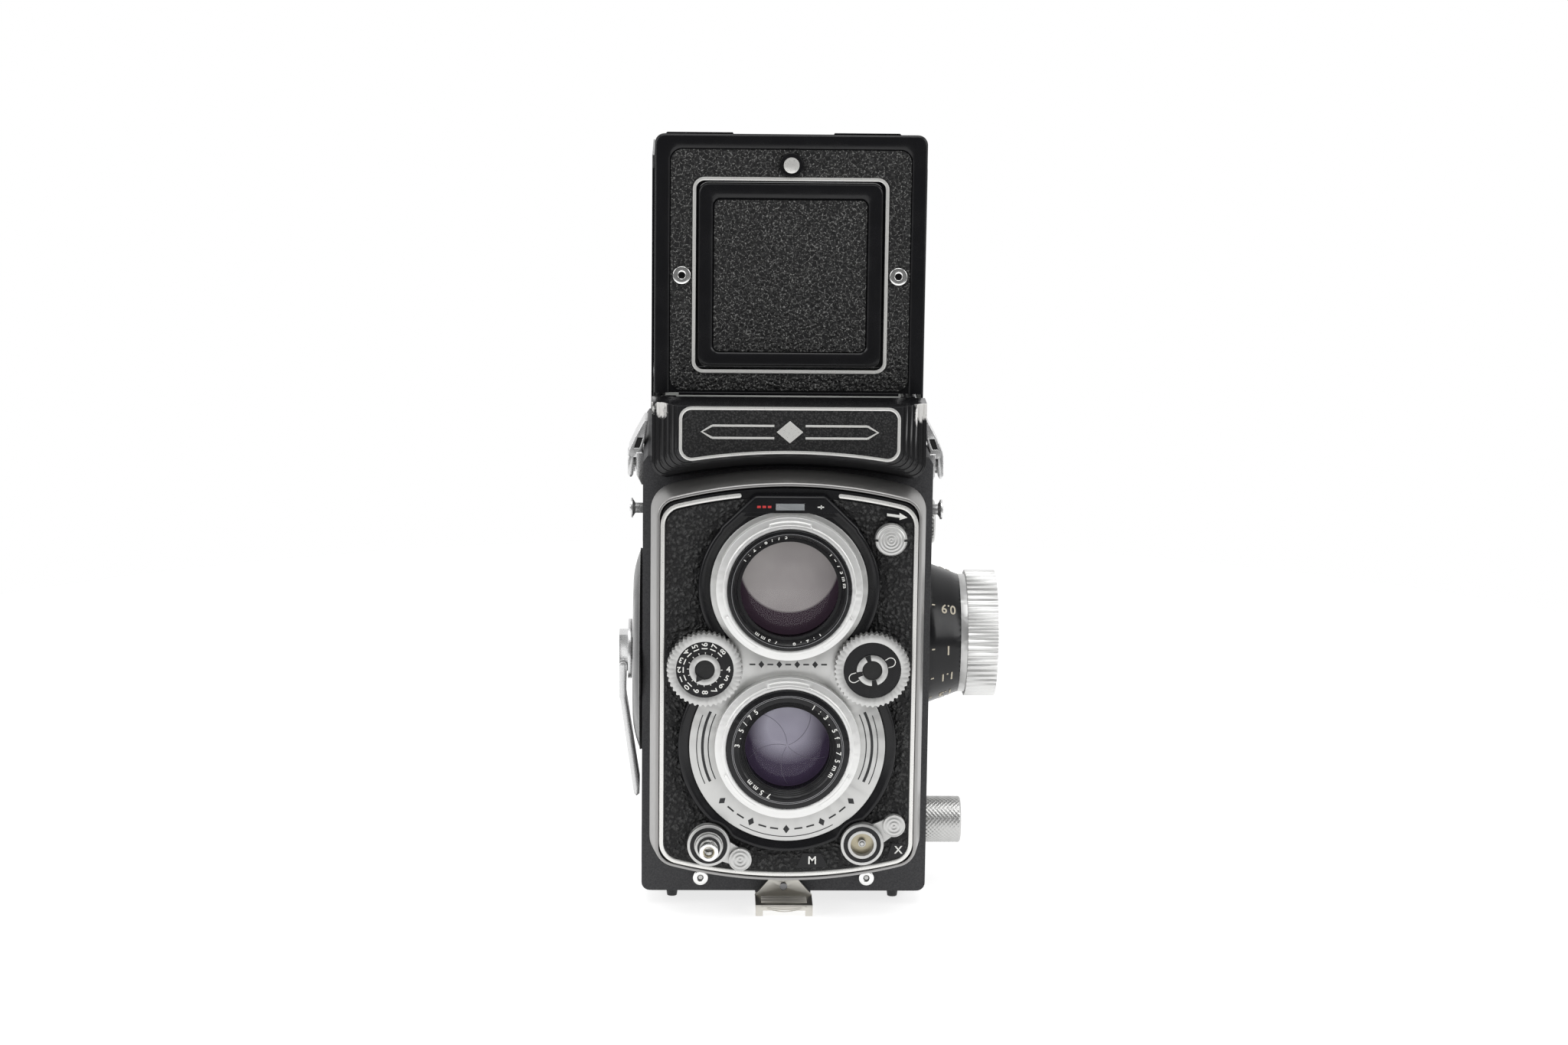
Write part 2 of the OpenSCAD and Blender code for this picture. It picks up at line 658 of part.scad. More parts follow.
module flash_socket() color("#d2d2cf") {
    difference() {
        union() {
            rod_y(flash_x, flash_z, 4.6, -49.5, board_front);
            rod_y(flash_x, flash_z, 5.55, -50.2, -48.6);
        }
        rod_y(flash_x, flash_z, 3.1, -52, -47.4);
    }
    rod_y(flash_x, flash_z, 0.5, -49.4, -47.2);
}

module self_timer_knob() color("#d2d2cf") difference() {
    union() {
        rod_y(timer_x, timer_z, 4.1, -50.4, -48.2);
        rod_y(timer_x, timer_z, 3, -51, -50.3);
        rod_y(timer_x, timer_z, 1.5, -51.2, -42.5);
    }
    for (x = [-4.6, 3.3]) block([timer_x + x, -52, timer_z - 0.35], [timer_x + x + 1.3, -49.6, timer_z + 0.35]);
}

// ---- Side controls ----

module focus_dial() color("#131315") difference() {
    union() {
        translate([side_x, side_y, focus_z]) rotate([0, 90, 0]) cylinder(r1 = 19.2, r2 = 15.8, h = 9);
        rod_x(side_y, focus_z, focus_shaft_r, 27, side_x + 1);
        rod_x(side_y, focus_z, 8.5, 24, 27.5);
    }
    rod_x(side_y, focus_z, 1.5, side_x + 5, side_x + 12);
}

module focus_knob() color("#c9c9c6") {
    rod_x(side_y, focus_z, 15.8, side_x + 9, side_x + 10.9);
    difference() {
        translate([0, side_y, focus_z]) along_x(side_x + 10.8, side_x + 18.9)
            polygon(ribbed(60, focus_r - 0.5, focus_r));
        rod_x(side_y, focus_z, 14, side_x + 18.3, side_x + 20);
    }
    rod_x(side_y, focus_z, 1.45, side_x + 6, side_x + 10);
}

module crank_hub() color("#d4d4d1") difference() {
    union() {
        rod_x(side_y, crank_z, crank_shaft_r, -42, -31);
        rod_x(side_y, crank_z, 8, -side_x - 3.9, -side_x - 2.9);
        block([-44, side_y - 3.4, crank_z - 5.4], [-side_x - 3.8, side_y + 3.4, crank_z + 4.6]);
    }
    // hole for the arm's pivot pin
    rod_y(pivot_x, pivot_z, 0.86, side_y - 6, side_y + 6);
}

module crank_arm() color("#d4d4d1") {
    difference() {
        along_y(side_y - 5.2, side_y + 5.2) polygon(concat(
            arc(pivot_x, pivot_z, 1.05, 0, 180, 8),
            [[-43.95, 51.5], [-43.6, 50.5], [-39.9, 24.6], [-39.2, 24], [-38.4, 24.6],
             [-38.4, 27], [-42.1, 50.8], [-42.1, 53]]));
        block([-50, side_y - 3.6, crank_z - 7.6], [-30, side_y + 3.6, crank_z + 10]);
    }
    rod_y(pivot_x, pivot_z, 0.8, side_y - 4.5, side_y + 4.5);
}

// Ribbed knob on a stem that reaches the spool
module film_knob(y, z, r, reach) {
    translate([0, y, z]) along_x(side_x + 0.4, side_x + reach) polygon(ribbed(40, r - 0.25, r));
    rod_x(y, z, stem_r, 31, side_x + 1);
}

module film_knob_upper() color("#cfcfcc") film_knob(take_y, take_z, 6, 4.3);
module film_knob_lower() color("#cfcfcc") film_knob(supply_y, supply_z, 6.2, 10);

module spool(y, z) {
    difference() {
        union() {
            rod_x(y, z, 6, -32.5, 32.5);
            for (x = [-32.5, 31.4]) rod_x(y, z, 12.2, x, x + 1.1);
        }
        rod_x(y, z, stem_hole_r, -34, 34);
    }
}

module supply_spool() color("#3b3b3e") spool(supply_y, supply_z);
module takeup_spool() color("#3b3b3e") spool(take_y, take_z);

// ---- Back ----

module back_door() color("#262628") {
    difference() {
        union() {
            intersection() {
                along_x(-body_half_w, body_half_w) polygon(concat(
                    [[door_inner_y, hinge_z - 0.3], [door_inner_y, 3.9], [-28.5, 3.9], [-28.5, 3.6], [-17.5, 1.4]],
                    arc(door_outer_y - 3, 4.4, 3, 270, 360, 6),
                    [[door_outer_y, hinge_z - 0.3]]));
                // follows the rounded lower corners of the casting
                along_y(-40, 50) polygon(concat(
                    [[body_half_w + 1, hinge_z], [-body_half_w - 1, hinge_z],
                     [-body_half_w - 1, body_bottom + 2.2]],
                    arc(2.2 - body_half_w, body_bottom + 2.2, 2.2, 180, 270, 6),
                    [[2.6 - body_half_w, 3.8], [3.2 - body_half_w, 1], [body_half_w - 3.2, 1],
                     [body_half_w - 2.6, 3.8]],
                    arc(body_half_w - 2.2, body_bottom + 2.2, 2.2, 270, 360, 6),
                    [[body_half_w + 1, body_bottom + 2.2]]));
            }
            rod_x(hinge_y, hinge_z, 0.45, -30, 30);
            block([-30, 42, hinge_z - 1.4], [30, 43.9, hinge_z - 0.3]);
            // four feet under the bottom plate
            for (x = [-29.5, 29.5], y = [-21, 35]) translate([x, y, 0]) cylinder(r1 = 1.3, r2 = 1.7, h = 2.6);
            // ears that carry the latch
            for (x = [-7.2, 5]) block([x, -27.5, 1.5], [x + 2.2, -24.9, 3.8]);
        }
        block([-33.5, door_inner_y - 1, 12], [33.5, 40.7, 112]);
        translate([0, 0, 1]) cylinder(r = 8.02, h = 4);
        block([-4.8, -31, 0], [4.8, -24.7, 5]);
        rod_x(latch_y, latch_z, 0.66, -8, 8);
    }
}

module pressure_plate() color("#2a2a2c") {
    block([-30, 36.35, taking_z - 30], [30, 37.35, taking_z + 30]);
    for (z = [taking_z - 20, taking_z + 20]) rod_y(0, z, 3, 37.3, 39.6);
}

module tripod_plate() color("#c6c6c3") difference() {
    union() {
        cylinder(r = 12, h = 1.4);
        cylinder(r = 8, h = 5.6);
    }
    translate([0, 0, -1]) cylinder(r = 3.1, h = 8);
}

module back_latch() color("#c6c2b6") {
    rod_x(latch_y, latch_z, 0.6, -7.4, 7.4);
    rod_x(latch_y, latch_z, 1.2, -4.6, 4.6);
    block([-4.6, -31, 1.8], [4.6, latch_y, 3]);
    block([-7.5, -39.6, 1.7], [7.5, -30.6, 3.3]);
    difference() {
        block([-7.5, -40.2, 0.3], [7.5, -39, 3.3]);
        block([-5.6, -41, 0], [5.6, -38, 1.8]);
    }
    along_y(-31.5, -30.6) polygon([[-3.9, 7.5], [3.9, 7.5], [7.6, 3.2], [-7.6, 3.2]]);
    rod_y(0, 5.9, 1, -32.2, -31.4);
    for (y = [-37.6, -36.2, -34.8, -33.4]) rod_x(y, 3.3, 0.35, -6, 6);
}

body_casting();
body_leather();
dark_chamber();
reflex_mirror();
nameplate_casting();
nameplate_trim();
nameplate_panel();
hood_base();
ground_glass();
front_studs();
strap_lug_left();
strap_lug_right();
crank_plate();
case_stud_left();
case_stud_right();
hood_lid();
hood_lid_leather();
finder_frame_trim();
hood_eyelets();
magnifier_button();
finder_flap();
finder_flap_leather();
magnifier_arm();
magnifier_lens();
hood_side_left();
hood_side_right();
hood_rear_panel();
standard_casting();
board_leather();
board_trim();
lens_surround();
escutcheon();
indicator_window();
view_bayonet();
taking_bayonet();
view_barrel();
view_glass();
taking_barrel();
taking_glass();
shutter_housing();
shutter_blades();
aperture_wheel();
speed_wheel();
release_socket();
release_button();
release_lock();
flash_socket();
sync_lever();
self_timer_knob();
focus_dial();
focus_knob();
crank_hub();
crank_arm();
film_knob_upper();
film_knob_lower();
supply_spool();
takeup_spool();
back_door();
pressure_plate();
tripod_plate();
back_latch();
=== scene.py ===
from math import asin, atan2, copysign, cos, degrees, hypot, pi, radians, sin, sqrt

import bmesh
import bpy
from mathutils import Matrix, Vector
from mathutils.geometry import tessellate_polygon


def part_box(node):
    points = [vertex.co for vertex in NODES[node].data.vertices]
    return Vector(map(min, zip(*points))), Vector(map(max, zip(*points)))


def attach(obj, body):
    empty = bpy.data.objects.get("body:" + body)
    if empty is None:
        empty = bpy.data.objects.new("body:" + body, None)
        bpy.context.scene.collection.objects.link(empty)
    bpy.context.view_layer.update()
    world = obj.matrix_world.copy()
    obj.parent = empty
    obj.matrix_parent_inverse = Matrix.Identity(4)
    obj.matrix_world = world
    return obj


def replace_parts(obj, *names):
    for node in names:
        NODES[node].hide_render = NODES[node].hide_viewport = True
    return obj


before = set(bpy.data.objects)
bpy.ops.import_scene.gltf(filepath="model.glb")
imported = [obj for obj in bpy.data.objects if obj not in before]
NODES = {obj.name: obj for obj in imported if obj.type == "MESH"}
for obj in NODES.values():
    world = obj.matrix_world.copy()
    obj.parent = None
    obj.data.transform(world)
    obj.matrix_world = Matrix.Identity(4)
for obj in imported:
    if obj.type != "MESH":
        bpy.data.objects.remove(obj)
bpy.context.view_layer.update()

# Twin lens reflex camera. Lengths below are in millimetres and MM turns them into metres.
MM = 0.001

# ---- Places taken from the frame ----


def middle(node):
    """Centre of a CAD node's box, in millimetres."""
    low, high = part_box(node)
    return (low + high) / 2 / MM


def front(node):
    """The node's front limit along Y, in millimetres."""
    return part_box(node)[0].y / MM


def rear(node):
    """The node's rear limit along Y, in millimetres."""
    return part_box(node)[1].y / MM


def right_side(node):
    """The node's limit on the right, along X, in millimetres."""
    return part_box(node)[1].x / MM


def width(node):
    low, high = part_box(node)
    return (high.x - low.x) / MM


VIEW = middle("view_bayonet")
TAKING = middle("taking_bayonet")
APERTURE = middle("aperture_wheel")
SPEED = middle("speed_wheel")
FLASH = middle("flash_socket")
RELEASE = middle("release_socket")
TIMER = middle("self_timer_knob")
FOCUS = middle("focus_knob")
ESCUTCHEON_Y = front("escutcheon")
BOARD_Y = front("board_leather")
LID_Y = front("hood_lid_leather")
LENS_BORE = width("view_barrel") / 2 + 0.05
PIN_BORE = 1.56
# Planes of the glowing discs, painted with reflection and shade, that stand for what shows through each lens
VIEW_FLOOR = -47.5
TAKING_FLOOR = -48.7
# Outer face of the hinged back, under its leather
DOOR_Y = 43.3
SIDES = ((-1, "l"), (1, "r"))

# ---- Materials ----


def add_node(tree, kind, values=None, **settings):
    """A new shader node with its settings and the values of its inputs; kind leaves out the ShaderNode prefix."""
    made = tree.nodes.new("ShaderNode" + kind)
    for key, value in settings.items():
        setattr(made, key, value)
    for key, value in (values or {}).items():
        made.inputs[key].default_value = value
    return made


class Shader:
    """A Principled material and the nodes that feed it."""

    def __init__(self, name, color, roughness=0.5, **values):
        self.material = bpy.data.materials.new(name)
        self.material.use_nodes = True
        self.tree = self.material.node_tree
        self.surface = self.tree.nodes["Principled BSDF"]
        self.surface.inputs["Base Color"].default_value = (*color[:3], 1)
        self.surface.inputs["Roughness"].default_value = roughness
        for key, value in values.items():
            self.surface.inputs[key.replace("_", " ")].default_value = value
        self.place = self.node("TexCoord").outputs["Object"]

    def node(self, kind, values=None, **settings):
        return add_node(self.tree, kind, values, **settings)

    def plug(self, source, target):
        self.tree.links.new(source, target)

    def stretched(self, scale):
        mapping = self.node("Mapping", {"Scale": scale})
        self.plug(self.place, mapping.inputs["Vector"])
        return mapping.outputs["Vector"]

    def noise(self, size, detail=3, rough=0.5, along=None, output="Fac"):
        """Noise with features about size millimetres across."""
        made = self.node("TexNoise", {"Scale": 1 / (size * MM), "Detail": detail, "Roughness": rough})
        self.plug(along or self.place, made.inputs["Vector"])
        return made.outputs[output]

    def cells(self, size, feature="F1", smooth=None, along=None):
        """Distance field of cells about size millimetres across."""
        made = self.node("TexVoronoi", {"Scale": 1 / (size * MM)}, feature=feature)
        if smooth is not None:
            made.inputs["Smoothness"].default_value = smooth
        self.plug(along or self.place, made.inputs["Vector"])
        return made.outputs["Distance"]

    def math(self, operation, a, b=0.0):
        made = self.node("Math", operation=operation)
        for socket, value in zip(made.inputs, (a, b)):
            if isinstance(value, (int, float)):
                socket.default_value = value
            else:
                self.plug(value, socket)
        return made.outputs[0]

    def times(self, a, b):
        return self.math("MULTIPLY", a, b)

    def span(self, value, low, high, to_low=0.0, to_high=1.0):
        made = self.node("MapRange", {"From Min": low, "From Max": high, "To Min": to_low, "To Max": to_high})
        self.plug(value, made.inputs["Value"])
        return made.outputs["Result"]

    def mixed(self, factor, a, b):
        made = self.node("Mix", data_type="RGBA")
        self.plug(factor, made.inputs["Factor"])
        made.inputs["A"].default_value = (*a, 1)
        made.inputs["B"].default_value = (*b, 1)
        return made.outputs["Result"]

    def color(self, factor, a, b):
        self.plug(self.mixed(factor, a, b), self.surface.inputs["Base Color"])

    def roughness(self, value):
        self.plug(value, self.surface.inputs["Roughness"])

    def bump(self, height, depth):
        """Raises the surface by depth millimetres where height is 1."""
        made = self.node("Bump", {"Distance": depth * MM, "Strength": 1.0})
        self.plug(height, made.inputs["Height"])
        self.plug(made.outputs["Normal"], self.surface.inputs["Normal"])


def crackle_paint():
    s = Shader("crackle_paint", (0.03, 0.03, 0.032), 0.5, Specular_IOR_Level=0.35)
    grain = s.noise(0.35, 4, 0.65)
    patches = s.noise(14, 3)
    s.color(s.span(grain, 0.3, 0.75), (0.016, 0.016, 0.018), (0.05, 0.05, 0.053))
    s.roughness(s.span(patches, 0.3, 0.7, 0.42, 0.6))
    s.bump(grain, 0.05)
    return s.material


def gloss_black():
    s = Shader("gloss_black", (0.005, 0.005, 0.006), 0.2, Specular_IOR_Level=0.33)
    s.roughness(s.span(s.noise(6, 4, 0.6), 0.3, 0.75, 0.18, 0.32))
    s.bump(s.noise(1.6, 2), 0.004)
    return s.material


def worn_black():
    """Gloss black with bare metal showing at the upper corners of the nameplate casting."""
    s = Shader("worn_black", (0.01, 0.01, 0.011), 0.22)
    split = s.node("SeparateXYZ")
    s.plug(s.place, split.inputs["Vector"])
    side = s.span(s.math("ABSOLUTE", split.outputs["X"]), 27 * MM, 34 * MM)
    high = s.span(split.outputs["Z"], 125 * MM, 134 * MM)
    streaks = s.noise(1.6, 5, 0.7, along=s.stretched((1, 1, 0.22)))
    patches = s.noise(3.2, 4, 0.6)
    ahead = s.span(split.outputs["Y"], -31 * MM, -35 * MM)
    corner_zone = s.times(s.times(side, high), ahead)
    amount = s.times(corner_zone, s.math("ADD", streaks, patches))
    bare = s.span(amount, 0.66, 0.76)
    s.color(bare, (0.009, 0.009, 0.01), (0.78, 0.77, 0.75))
    s.plug(s.times(bare, 0.4), s.surface.inputs["Metallic"])
    s.roughness(s.span(bare, 0, 1, 0.22, 0.4))
    s.bump(s.times(bare, -1), 0.03)
    return s.material


def leather(name, grain_size, depth, shine, crest, speck_highlight, warp):
    """Pebbled leather: swollen cells with creases between. crest is the colour of their tops, painted lighter as a
    highlight, with painted shade in the creases; speck how far small spots on them are painted bright as highlights;
    and warp how far the cells are pulled out of shape."""
    s = Shader(name, (0.012, 0.012, 0.013), shine, Specular_IOR_Level=0.3)
    shift = s.node("VectorMath", operation="MULTIPLY_ADD")
    s.plug(s.noise(grain_size * 1.8, output="Color"), shift.inputs[0])
    shift.inputs[1].default_value = [warp * grain_size * 2 * MM] * 3
    s.plug(s.place, shift.inputs[2])
    along = shift.outputs["Vector"]
    cells = s.cells(grain_size, "SMOOTH_F1", 0.25, along)
    crease = s.span(s.cells(grain_size * 2.3, "DISTANCE_TO_EDGE", along=along), 0.0, 0.16)
    fine = s.noise(grain_size * 0.35, 3, 0.6)
    swell = s.times(s.span(cells, 0.62, 0.12), s.math("ADD", s.times(crease, 0.6), 0.4))
    height = s.math("ADD", swell, s.times(fine, 0.2))
    # Painted highlights: bright specks near the cell edges, masked by noise
    edges = s.cells(grain_size * 1.2, "DISTANCE_TO_EDGE", along=along)
    bright_speck_mask = s.times(s.span(edges, 0.12, 0.02), s.span(s.noise(grain_size * 0.42, 3, 0.6), 0.48, 0.62))
    shade = s.node("Mix", data_type="RGBA")
    s.plug(s.times(bright_speck_mask, speck_highlight), shade.inputs["Factor"])
    # Painted highlight and shade: cell tops lighter up to the crest colour, creases painted dark
    tops = s.times(s.span(s.cells(grain_size, along=along), 0.6, 0.2), s.span(fine, 0.3, 0.7, 0.4, 1.0))
    s.plug(s.mixed(tops, (0.004, 0.004, 0.0045), (crest, crest, crest)), shade.inputs["A"])
    shade.inputs["B"].default_value = (0.3, 0.3, 0.29, 1)
    s.plug(shade.outputs["Result"], s.surface.inputs["Base Color"])
    s.roughness(s.span(height, 0.2, 1.0, shine + 0.25, shine))
    s.bump(height, depth)
    return s.material


def metal(name, color, roughness, grain=(1, 1, 1), grain_size=0.25, spots=0.0, depth=0.0, metallic=1.0):
    s = Shader(name, color, roughness, Metallic=metallic)
    streak = s.noise(grain_size, 4, 0.6, along=s.stretched(grain))
    s.roughness(s.span(streak, 0.25, 0.75, roughness - 0.06, roughness + 0.09))
    if spots:
        pits = s.span(s.noise(0.5, 6, 0.8), 0.66, 0.74)
        where = s.span(s.noise(9, 2), 0.42, 0.62)
        dark = tuple(0.25 * c for c in color)
        s.color(s.times(s.times(pits, where), spots), color, dark)
    if depth:
        s.bump(streak, depth)
    return s.material


def glass(name, tint, alpha, coat=(1, 1, 1)):
    s = Shader(name, tint, 0.03, Alpha=alpha, IOR=1.6, Coat_Weight=1.0, Coat_Roughness=0.12, Specular_Tint=(*coat, 1))
    s.roughness(s.span(s.noise(7, 3), 0.3, 0.7, 0.03, 0.05))
    return s.material


def lit_interior(name, centre, lift, radius, soft, slant, bright, dark, glow):
    """A glowing painted reflection standing for what shows through a lens: a bright disc of painted light shifted up by
    lift millimetres, on a dark barrel. soft is the width of its edge, and slant how much painted shade darkens it
    towards the lower right."""
    s = Shader(name, bright, 0.8, Emission_Strength=glow)
    split = s.node("SeparateXYZ")
    s.plug(s.place, split.inputs["Vector"])
    rise = s.math("SUBTRACT", split.outputs["Z"], (centre.z + lift) * MM)
    across = s.math("SUBTRACT", split.outputs["X"], centre.x * MM)
    away = s.math("SQRT", s.math("ADD", s.times(rise, rise), s.times(across, across)))
    lit = s.span(away, (radius + soft) * MM, (radius - soft) * MM)
    haze = s.span(s.noise(9, 2), 0.3, 0.7, 0.82, 1.0)
    diagonal = s.math("SUBTRACT", rise, across)
    shade = s.times(haze, s.span(diagonal, -20 * MM, 6 * MM, 1 - slant, 1.0))
    s.color(s.times(lit, shade), dark, bright)
    s.plug(s.surface.inputs["Base Color"].links[0].from_socket, s.surface.inputs["Emission Color"])
    return s.material


def paint(name, color, roughness=0.5, **values):
    s = Shader(name, color, roughness, **values)
    s.roughness(s.span(s.noise(2, 3), 0.3, 0.7, roughness - 0.06, roughness + 0.06))
    return s.material


CRACKLE = crackle_paint()
GLOSS = gloss_black()
WORN = worn_black()
BOARD_LEATHER = leather("board_leather_grain", 1.15, 1.2, 0.32, 0.075, 0.1, 0.8)
HOOD_LEATHER = leather("hood_leather_grain", 1.0, 0.8, 0.34, 0.03, 0.75, 0.8)
PLATE_LEATHER = leather("plate_leather_grain", 0.55, 0.2, 0.42, 0.035, 0.08, 0.5)
CHROME = metal("polished_chrome", (0.86, 0.86, 0.85), 0.16)
SATIN = metal("satin_chrome", (0.57, 0.57, 0.56), 0.38, spots=0.8, metallic=0.9)
WHITE_CHROME = metal("bright_satin_chrome", (0.79, 0.79, 0.78), 0.36, spots=0.15, metallic=0.7)
LUG = metal("lug_chrome", (0.72, 0.72, 0.72), 0.28, spots=0.3, metallic=0.8)
TRIM = metal("trim_chrome", (0.78, 0.775, 0.75), 0.3, metallic=0.6)
BRUSHED = metal("brushed_rim", (0.34, 0.335, 0.33), 0.36, grain=(6, 0.5, 0.3), grain_size=0.6, depth=0.012)
STEEL = metal("dark_steel", (0.3, 0.3, 0.31), 0.35)
LATCH = metal("worn_plating", (0.66, 0.64, 0.59), 0.36, spots=0.8)
BLACK_ALLOY = paint("black_alloy", (0.005, 0.005, 0.006), 0.3, Specular_IOR_Level=0.33)
MATT_BLACK = paint("matt_black", (0.006, 0.006, 0.006), 0.7)
WHITE_FILL = paint("white_fill", (0.78, 0.78, 0.75), 0.6)
DARK_FILL = paint("dark_fill", (0.02, 0.02, 0.022), 0.6)
BRASS_FILL = paint("aged_fill", (0.55, 0.5, 0.4), 0.6)
RED_FILL = paint("red_fill", (0.5, 0.03, 0.03), 0.5)
VIEW_GLASS = glass("view_glass_coated", (0.06, 0.05, 0.06), 0.15, coat=(1, 0.9, 0.95))
TAKING_GLASS = glass("taking_glass_coated", (0.05, 0.035, 0.08), 0.2, coat=(0.85, 0.8, 1))
CLEAR_GLASS = glass("clear_glass", (0.8, 0.84, 0.86), 0.3)
SCREEN = paint("ground_screen", (0.5, 0.51, 0.49), 0.8)
MIRROR = metal("front_mirror", (0.9, 0.92, 0.93), 0.02)
BLADES = metal("shutter_steel", (0.5, 0.49, 0.56), 0.42)
SEAM = paint("blade_seam_shade", (0.13, 0.125, 0.15), 0.7)
AGED_BRASS = metal("aged_contact", (0.42, 0.38, 0.28), 0.3, spots=0.8)
# Glowing painted reflections for the discs behind both lenses
VIEW_PAINTED_REFLECTION = lit_interior("view_painted_reflection_glow", VIEW, 5.6, 12.55, 0.3, 0.3, (0.36, 0.34, 0.335),
                             (0.02, 0.008, 0.018), 0.35)
TAKING_PAINTED_REFLECTION = lit_interior("taking_painted_reflection_glow", TAKING, 5.2, 7.9, 2.6, 0.6, (0.4, 0.39, 0.46),
                               (0.02, 0.011, 0.03), 0.35)

NODE_MATERIALS = {
    CRACKLE: "body_casting back_door",
    GLOSS: "hood_lid finder_flap lens_surround crank_plate hood_base hood_side_left "
           "hood_side_right hood_rear_panel focus_dial",
    WORN: "nameplate_casting",
    BOARD_LEATHER: "board_leather body_leather",
    HOOD_LEATHER: "hood_lid_leather finder_flap_leather",
    PLATE_LEATHER: "nameplate_panel",
    CHROME: "hood_eyelets front_studs release_button",
    TRIM: "board_trim nameplate_trim finder_frame_trim magnifier_button",
    SATIN: "escutcheon aperture_wheel speed_wheel release_socket flash_socket release_lock sync_lever "
           "self_timer_knob tripod_plate",
    WHITE_CHROME: "view_bayonet taking_bayonet focus_knob",
    LUG: "strap_lug_left strap_lug_right case_stud_left case_stud_right crank_hub crank_arm "
         "film_knob_upper film_knob_lower",
    BRUSHED: "standard_casting",
    STEEL: "magnifier_arm",
    LATCH: "back_latch",
    BLACK_ALLOY: "view_barrel taking_barrel shutter_housing supply_spool takeup_spool pressure_plate",
    MATT_BLACK: "dark_chamber",
    VIEW_GLASS: "view_glass",
    TAKING_GLASS: "taking_glass",
    CLEAR_GLASS: "indicator_window magnifier_lens",
    SCREEN: "ground_glass",
    MIRROR: "reflex_mirror",
    BLADES: "shutter_blades",
}

# ---- Mesh helpers ----


def dress(obj, material, edge=0.12, angle=32):
    """Gives a piece its material, smooth shading with sharp creases, and a small rounded edge."""
    obj.data.materials.clear()
    obj.data.materials.append(material)
    for face in obj.data.polygons:
        face.use_smooth = True
    obj.data.set_sharp_from_angle(angle=radians(angle))
    if edge:
        weld = obj.modifiers.new("weld", "WELD")
        weld.merge_threshold = 0.002 * MM
        bevel = obj.modifiers.new("edge", "BEVEL")
        bevel.width = edge * MM
        bevel.segments = 2
        bevel.limit_method = "ANGLE"
        bevel.angle_limit = radians(angle)
        bevel.harden_normals = True
    return obj


def linked(name, data):
    """A new object of the scene that holds data."""
    obj = bpy.data.objects.new(name, data)
    bpy.context.scene.collection.objects.link(obj)
    return obj


def add(name, verts, faces, material, body, edge=0.0, angle=32):
    """A new mesh piece from points in millimetres, riding on a CAD body."""
    mesh = bpy.data.meshes.new(name)
    mesh.from_pydata([Vector(v) * MM for v in verts], [], faces)
    made = bmesh.new()
    made.from_mesh(mesh)
    bmesh.ops.recalc_face_normals(made, faces=made.faces)
    made.to_mesh(mesh)
    made.free()
    obj = linked(name, mesh)
    dress(obj, material, edge, angle)
    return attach(obj, body)


def turned(axis, centre, radius, along, angle):
    """A point on a circle round an axis through centre; along is its place on the axis."""
    u, v = radius * cos(angle), radius * sin(angle)
    if axis == "y":
        return centre[0] + u, along, centre[2] + v
    if axis == "x":
        return along, centre[1] + u, centre[2] + v
    return centre[0] + u, centre[1] + v, along


def lathe(name, profile, axis, centre, material, body, segments=96, closed=False, edge=0.0, angle=32, wave=None):
    """A turned piece. profile is (radius, place along the axis) in millimetres, and wave may change the radius."""
    verts, faces = [], []
    for r, along in profile:
        for k in range(segments):
            a = 2 * pi * k / segments
            verts.append(turned(axis, centre, max(r + (wave(r, along, a) if wave else 0), 0.0), along, a))
    rows = len(profile)
    for i in range(rows if closed else rows - 1):
        j = (i + 1) % rows
        for k in range(segments):
            n = (k + 1) % segments
            faces.append((i * segments + k, i * segments + n, j * segments + n, j * segments + k))
    if not closed:
        faces.append(tuple(range(segments)))
        faces.append(tuple(range((rows - 1) * segments, rows * segments))[::-1])
    return add(name, verts, faces, material, body, edge, angle)


def ring(name, inner, outer, y0, y1, centre, material, body, edge=0.08):
    """A flat ring facing forwards, from y0 (front) to y1."""
    return lathe(name, [(inner, y0), (outer, y0), (outer, y1), (inner, y1)], "y", centre, material, body,
                 closed=True, edge=edge)


def disc(name, radius, y0, y1, centre, material, body, edge=0.08):
    return lathe(name, [(radius, y0), (radius, y1)], "y", centre, material, body, edge=edge)


def slab(name, outline, y0, y1, material, body, edge=0.06):
    """A flat piece with an outline of (x, z) points, from y0 (front) to y1."""
    n = len(outline)
    verts = [(x, y0, z) for x, z in outline] + [(x, y1, z) for x, z in outline]
    faces = [tuple(range(n)), tuple(range(n, 2 * n))[::-1]]
    faces += [(k, (k + 1) % n, n + (k + 1) % n, n + k) for k in range(n)]
    return add(name, verts, faces, material, body, edge)


def stroke(points, width):
    """Outline of a thin line that follows points, as (x, z) pairs."""
    left, right = [], []
    for k, (x, z) in enumerate(points):
        ax, az = points[max(k - 1, 0)]
        bx, bz = points[min(k + 1, len(points) - 1)]
        length = hypot(bx - ax, bz - az) or 1
        nx, nz = -(bz - az) / length * width / 2, (bx - ax) / length * width / 2
        left.append((x + nx, z + nz))
        right.append((x - nx, z - nz))
    return left + right[::-1]


def outward(points, closed):
    """Mitred unit offsets, to the right of the direction of travel, for a path of (x, z) points."""
    n = len(points)
    normals = []
    for k in range(n if closed else n - 1):
        (ax, az), (bx, bz) = points[k], points[(k + 1) % n]
        length = hypot(bx - ax, bz - az)
        normals.append(((bz - az) / length, -(bx - ax) / length))
    found = []
    for k in range(n):
        a = normals[k - 1] if closed or k > 0 else normals[0]
        b = normals[k] if closed or k < n - 1 else normals[-1]
        mx, mz = (a[0] + b[0]) / 2, (a[1] + b[1]) / 2
        scale = max(mx * mx + mz * mz, 0.3)
        found.append((mx / scale, mz / scale))
    return found


def distinct(points):
    """The same path without repeated points."""
    kept = [points[0]]
    for q in points[1:]:
        if hypot(q[0] - kept[-1][0], q[1] - kept[-1][1]) > 0.01:
            kept.append(q)
    if hypot(kept[0][0] - kept[-1][0], kept[0][1] - kept[-1][1]) < 0.01:
        kept.pop()
    return kept


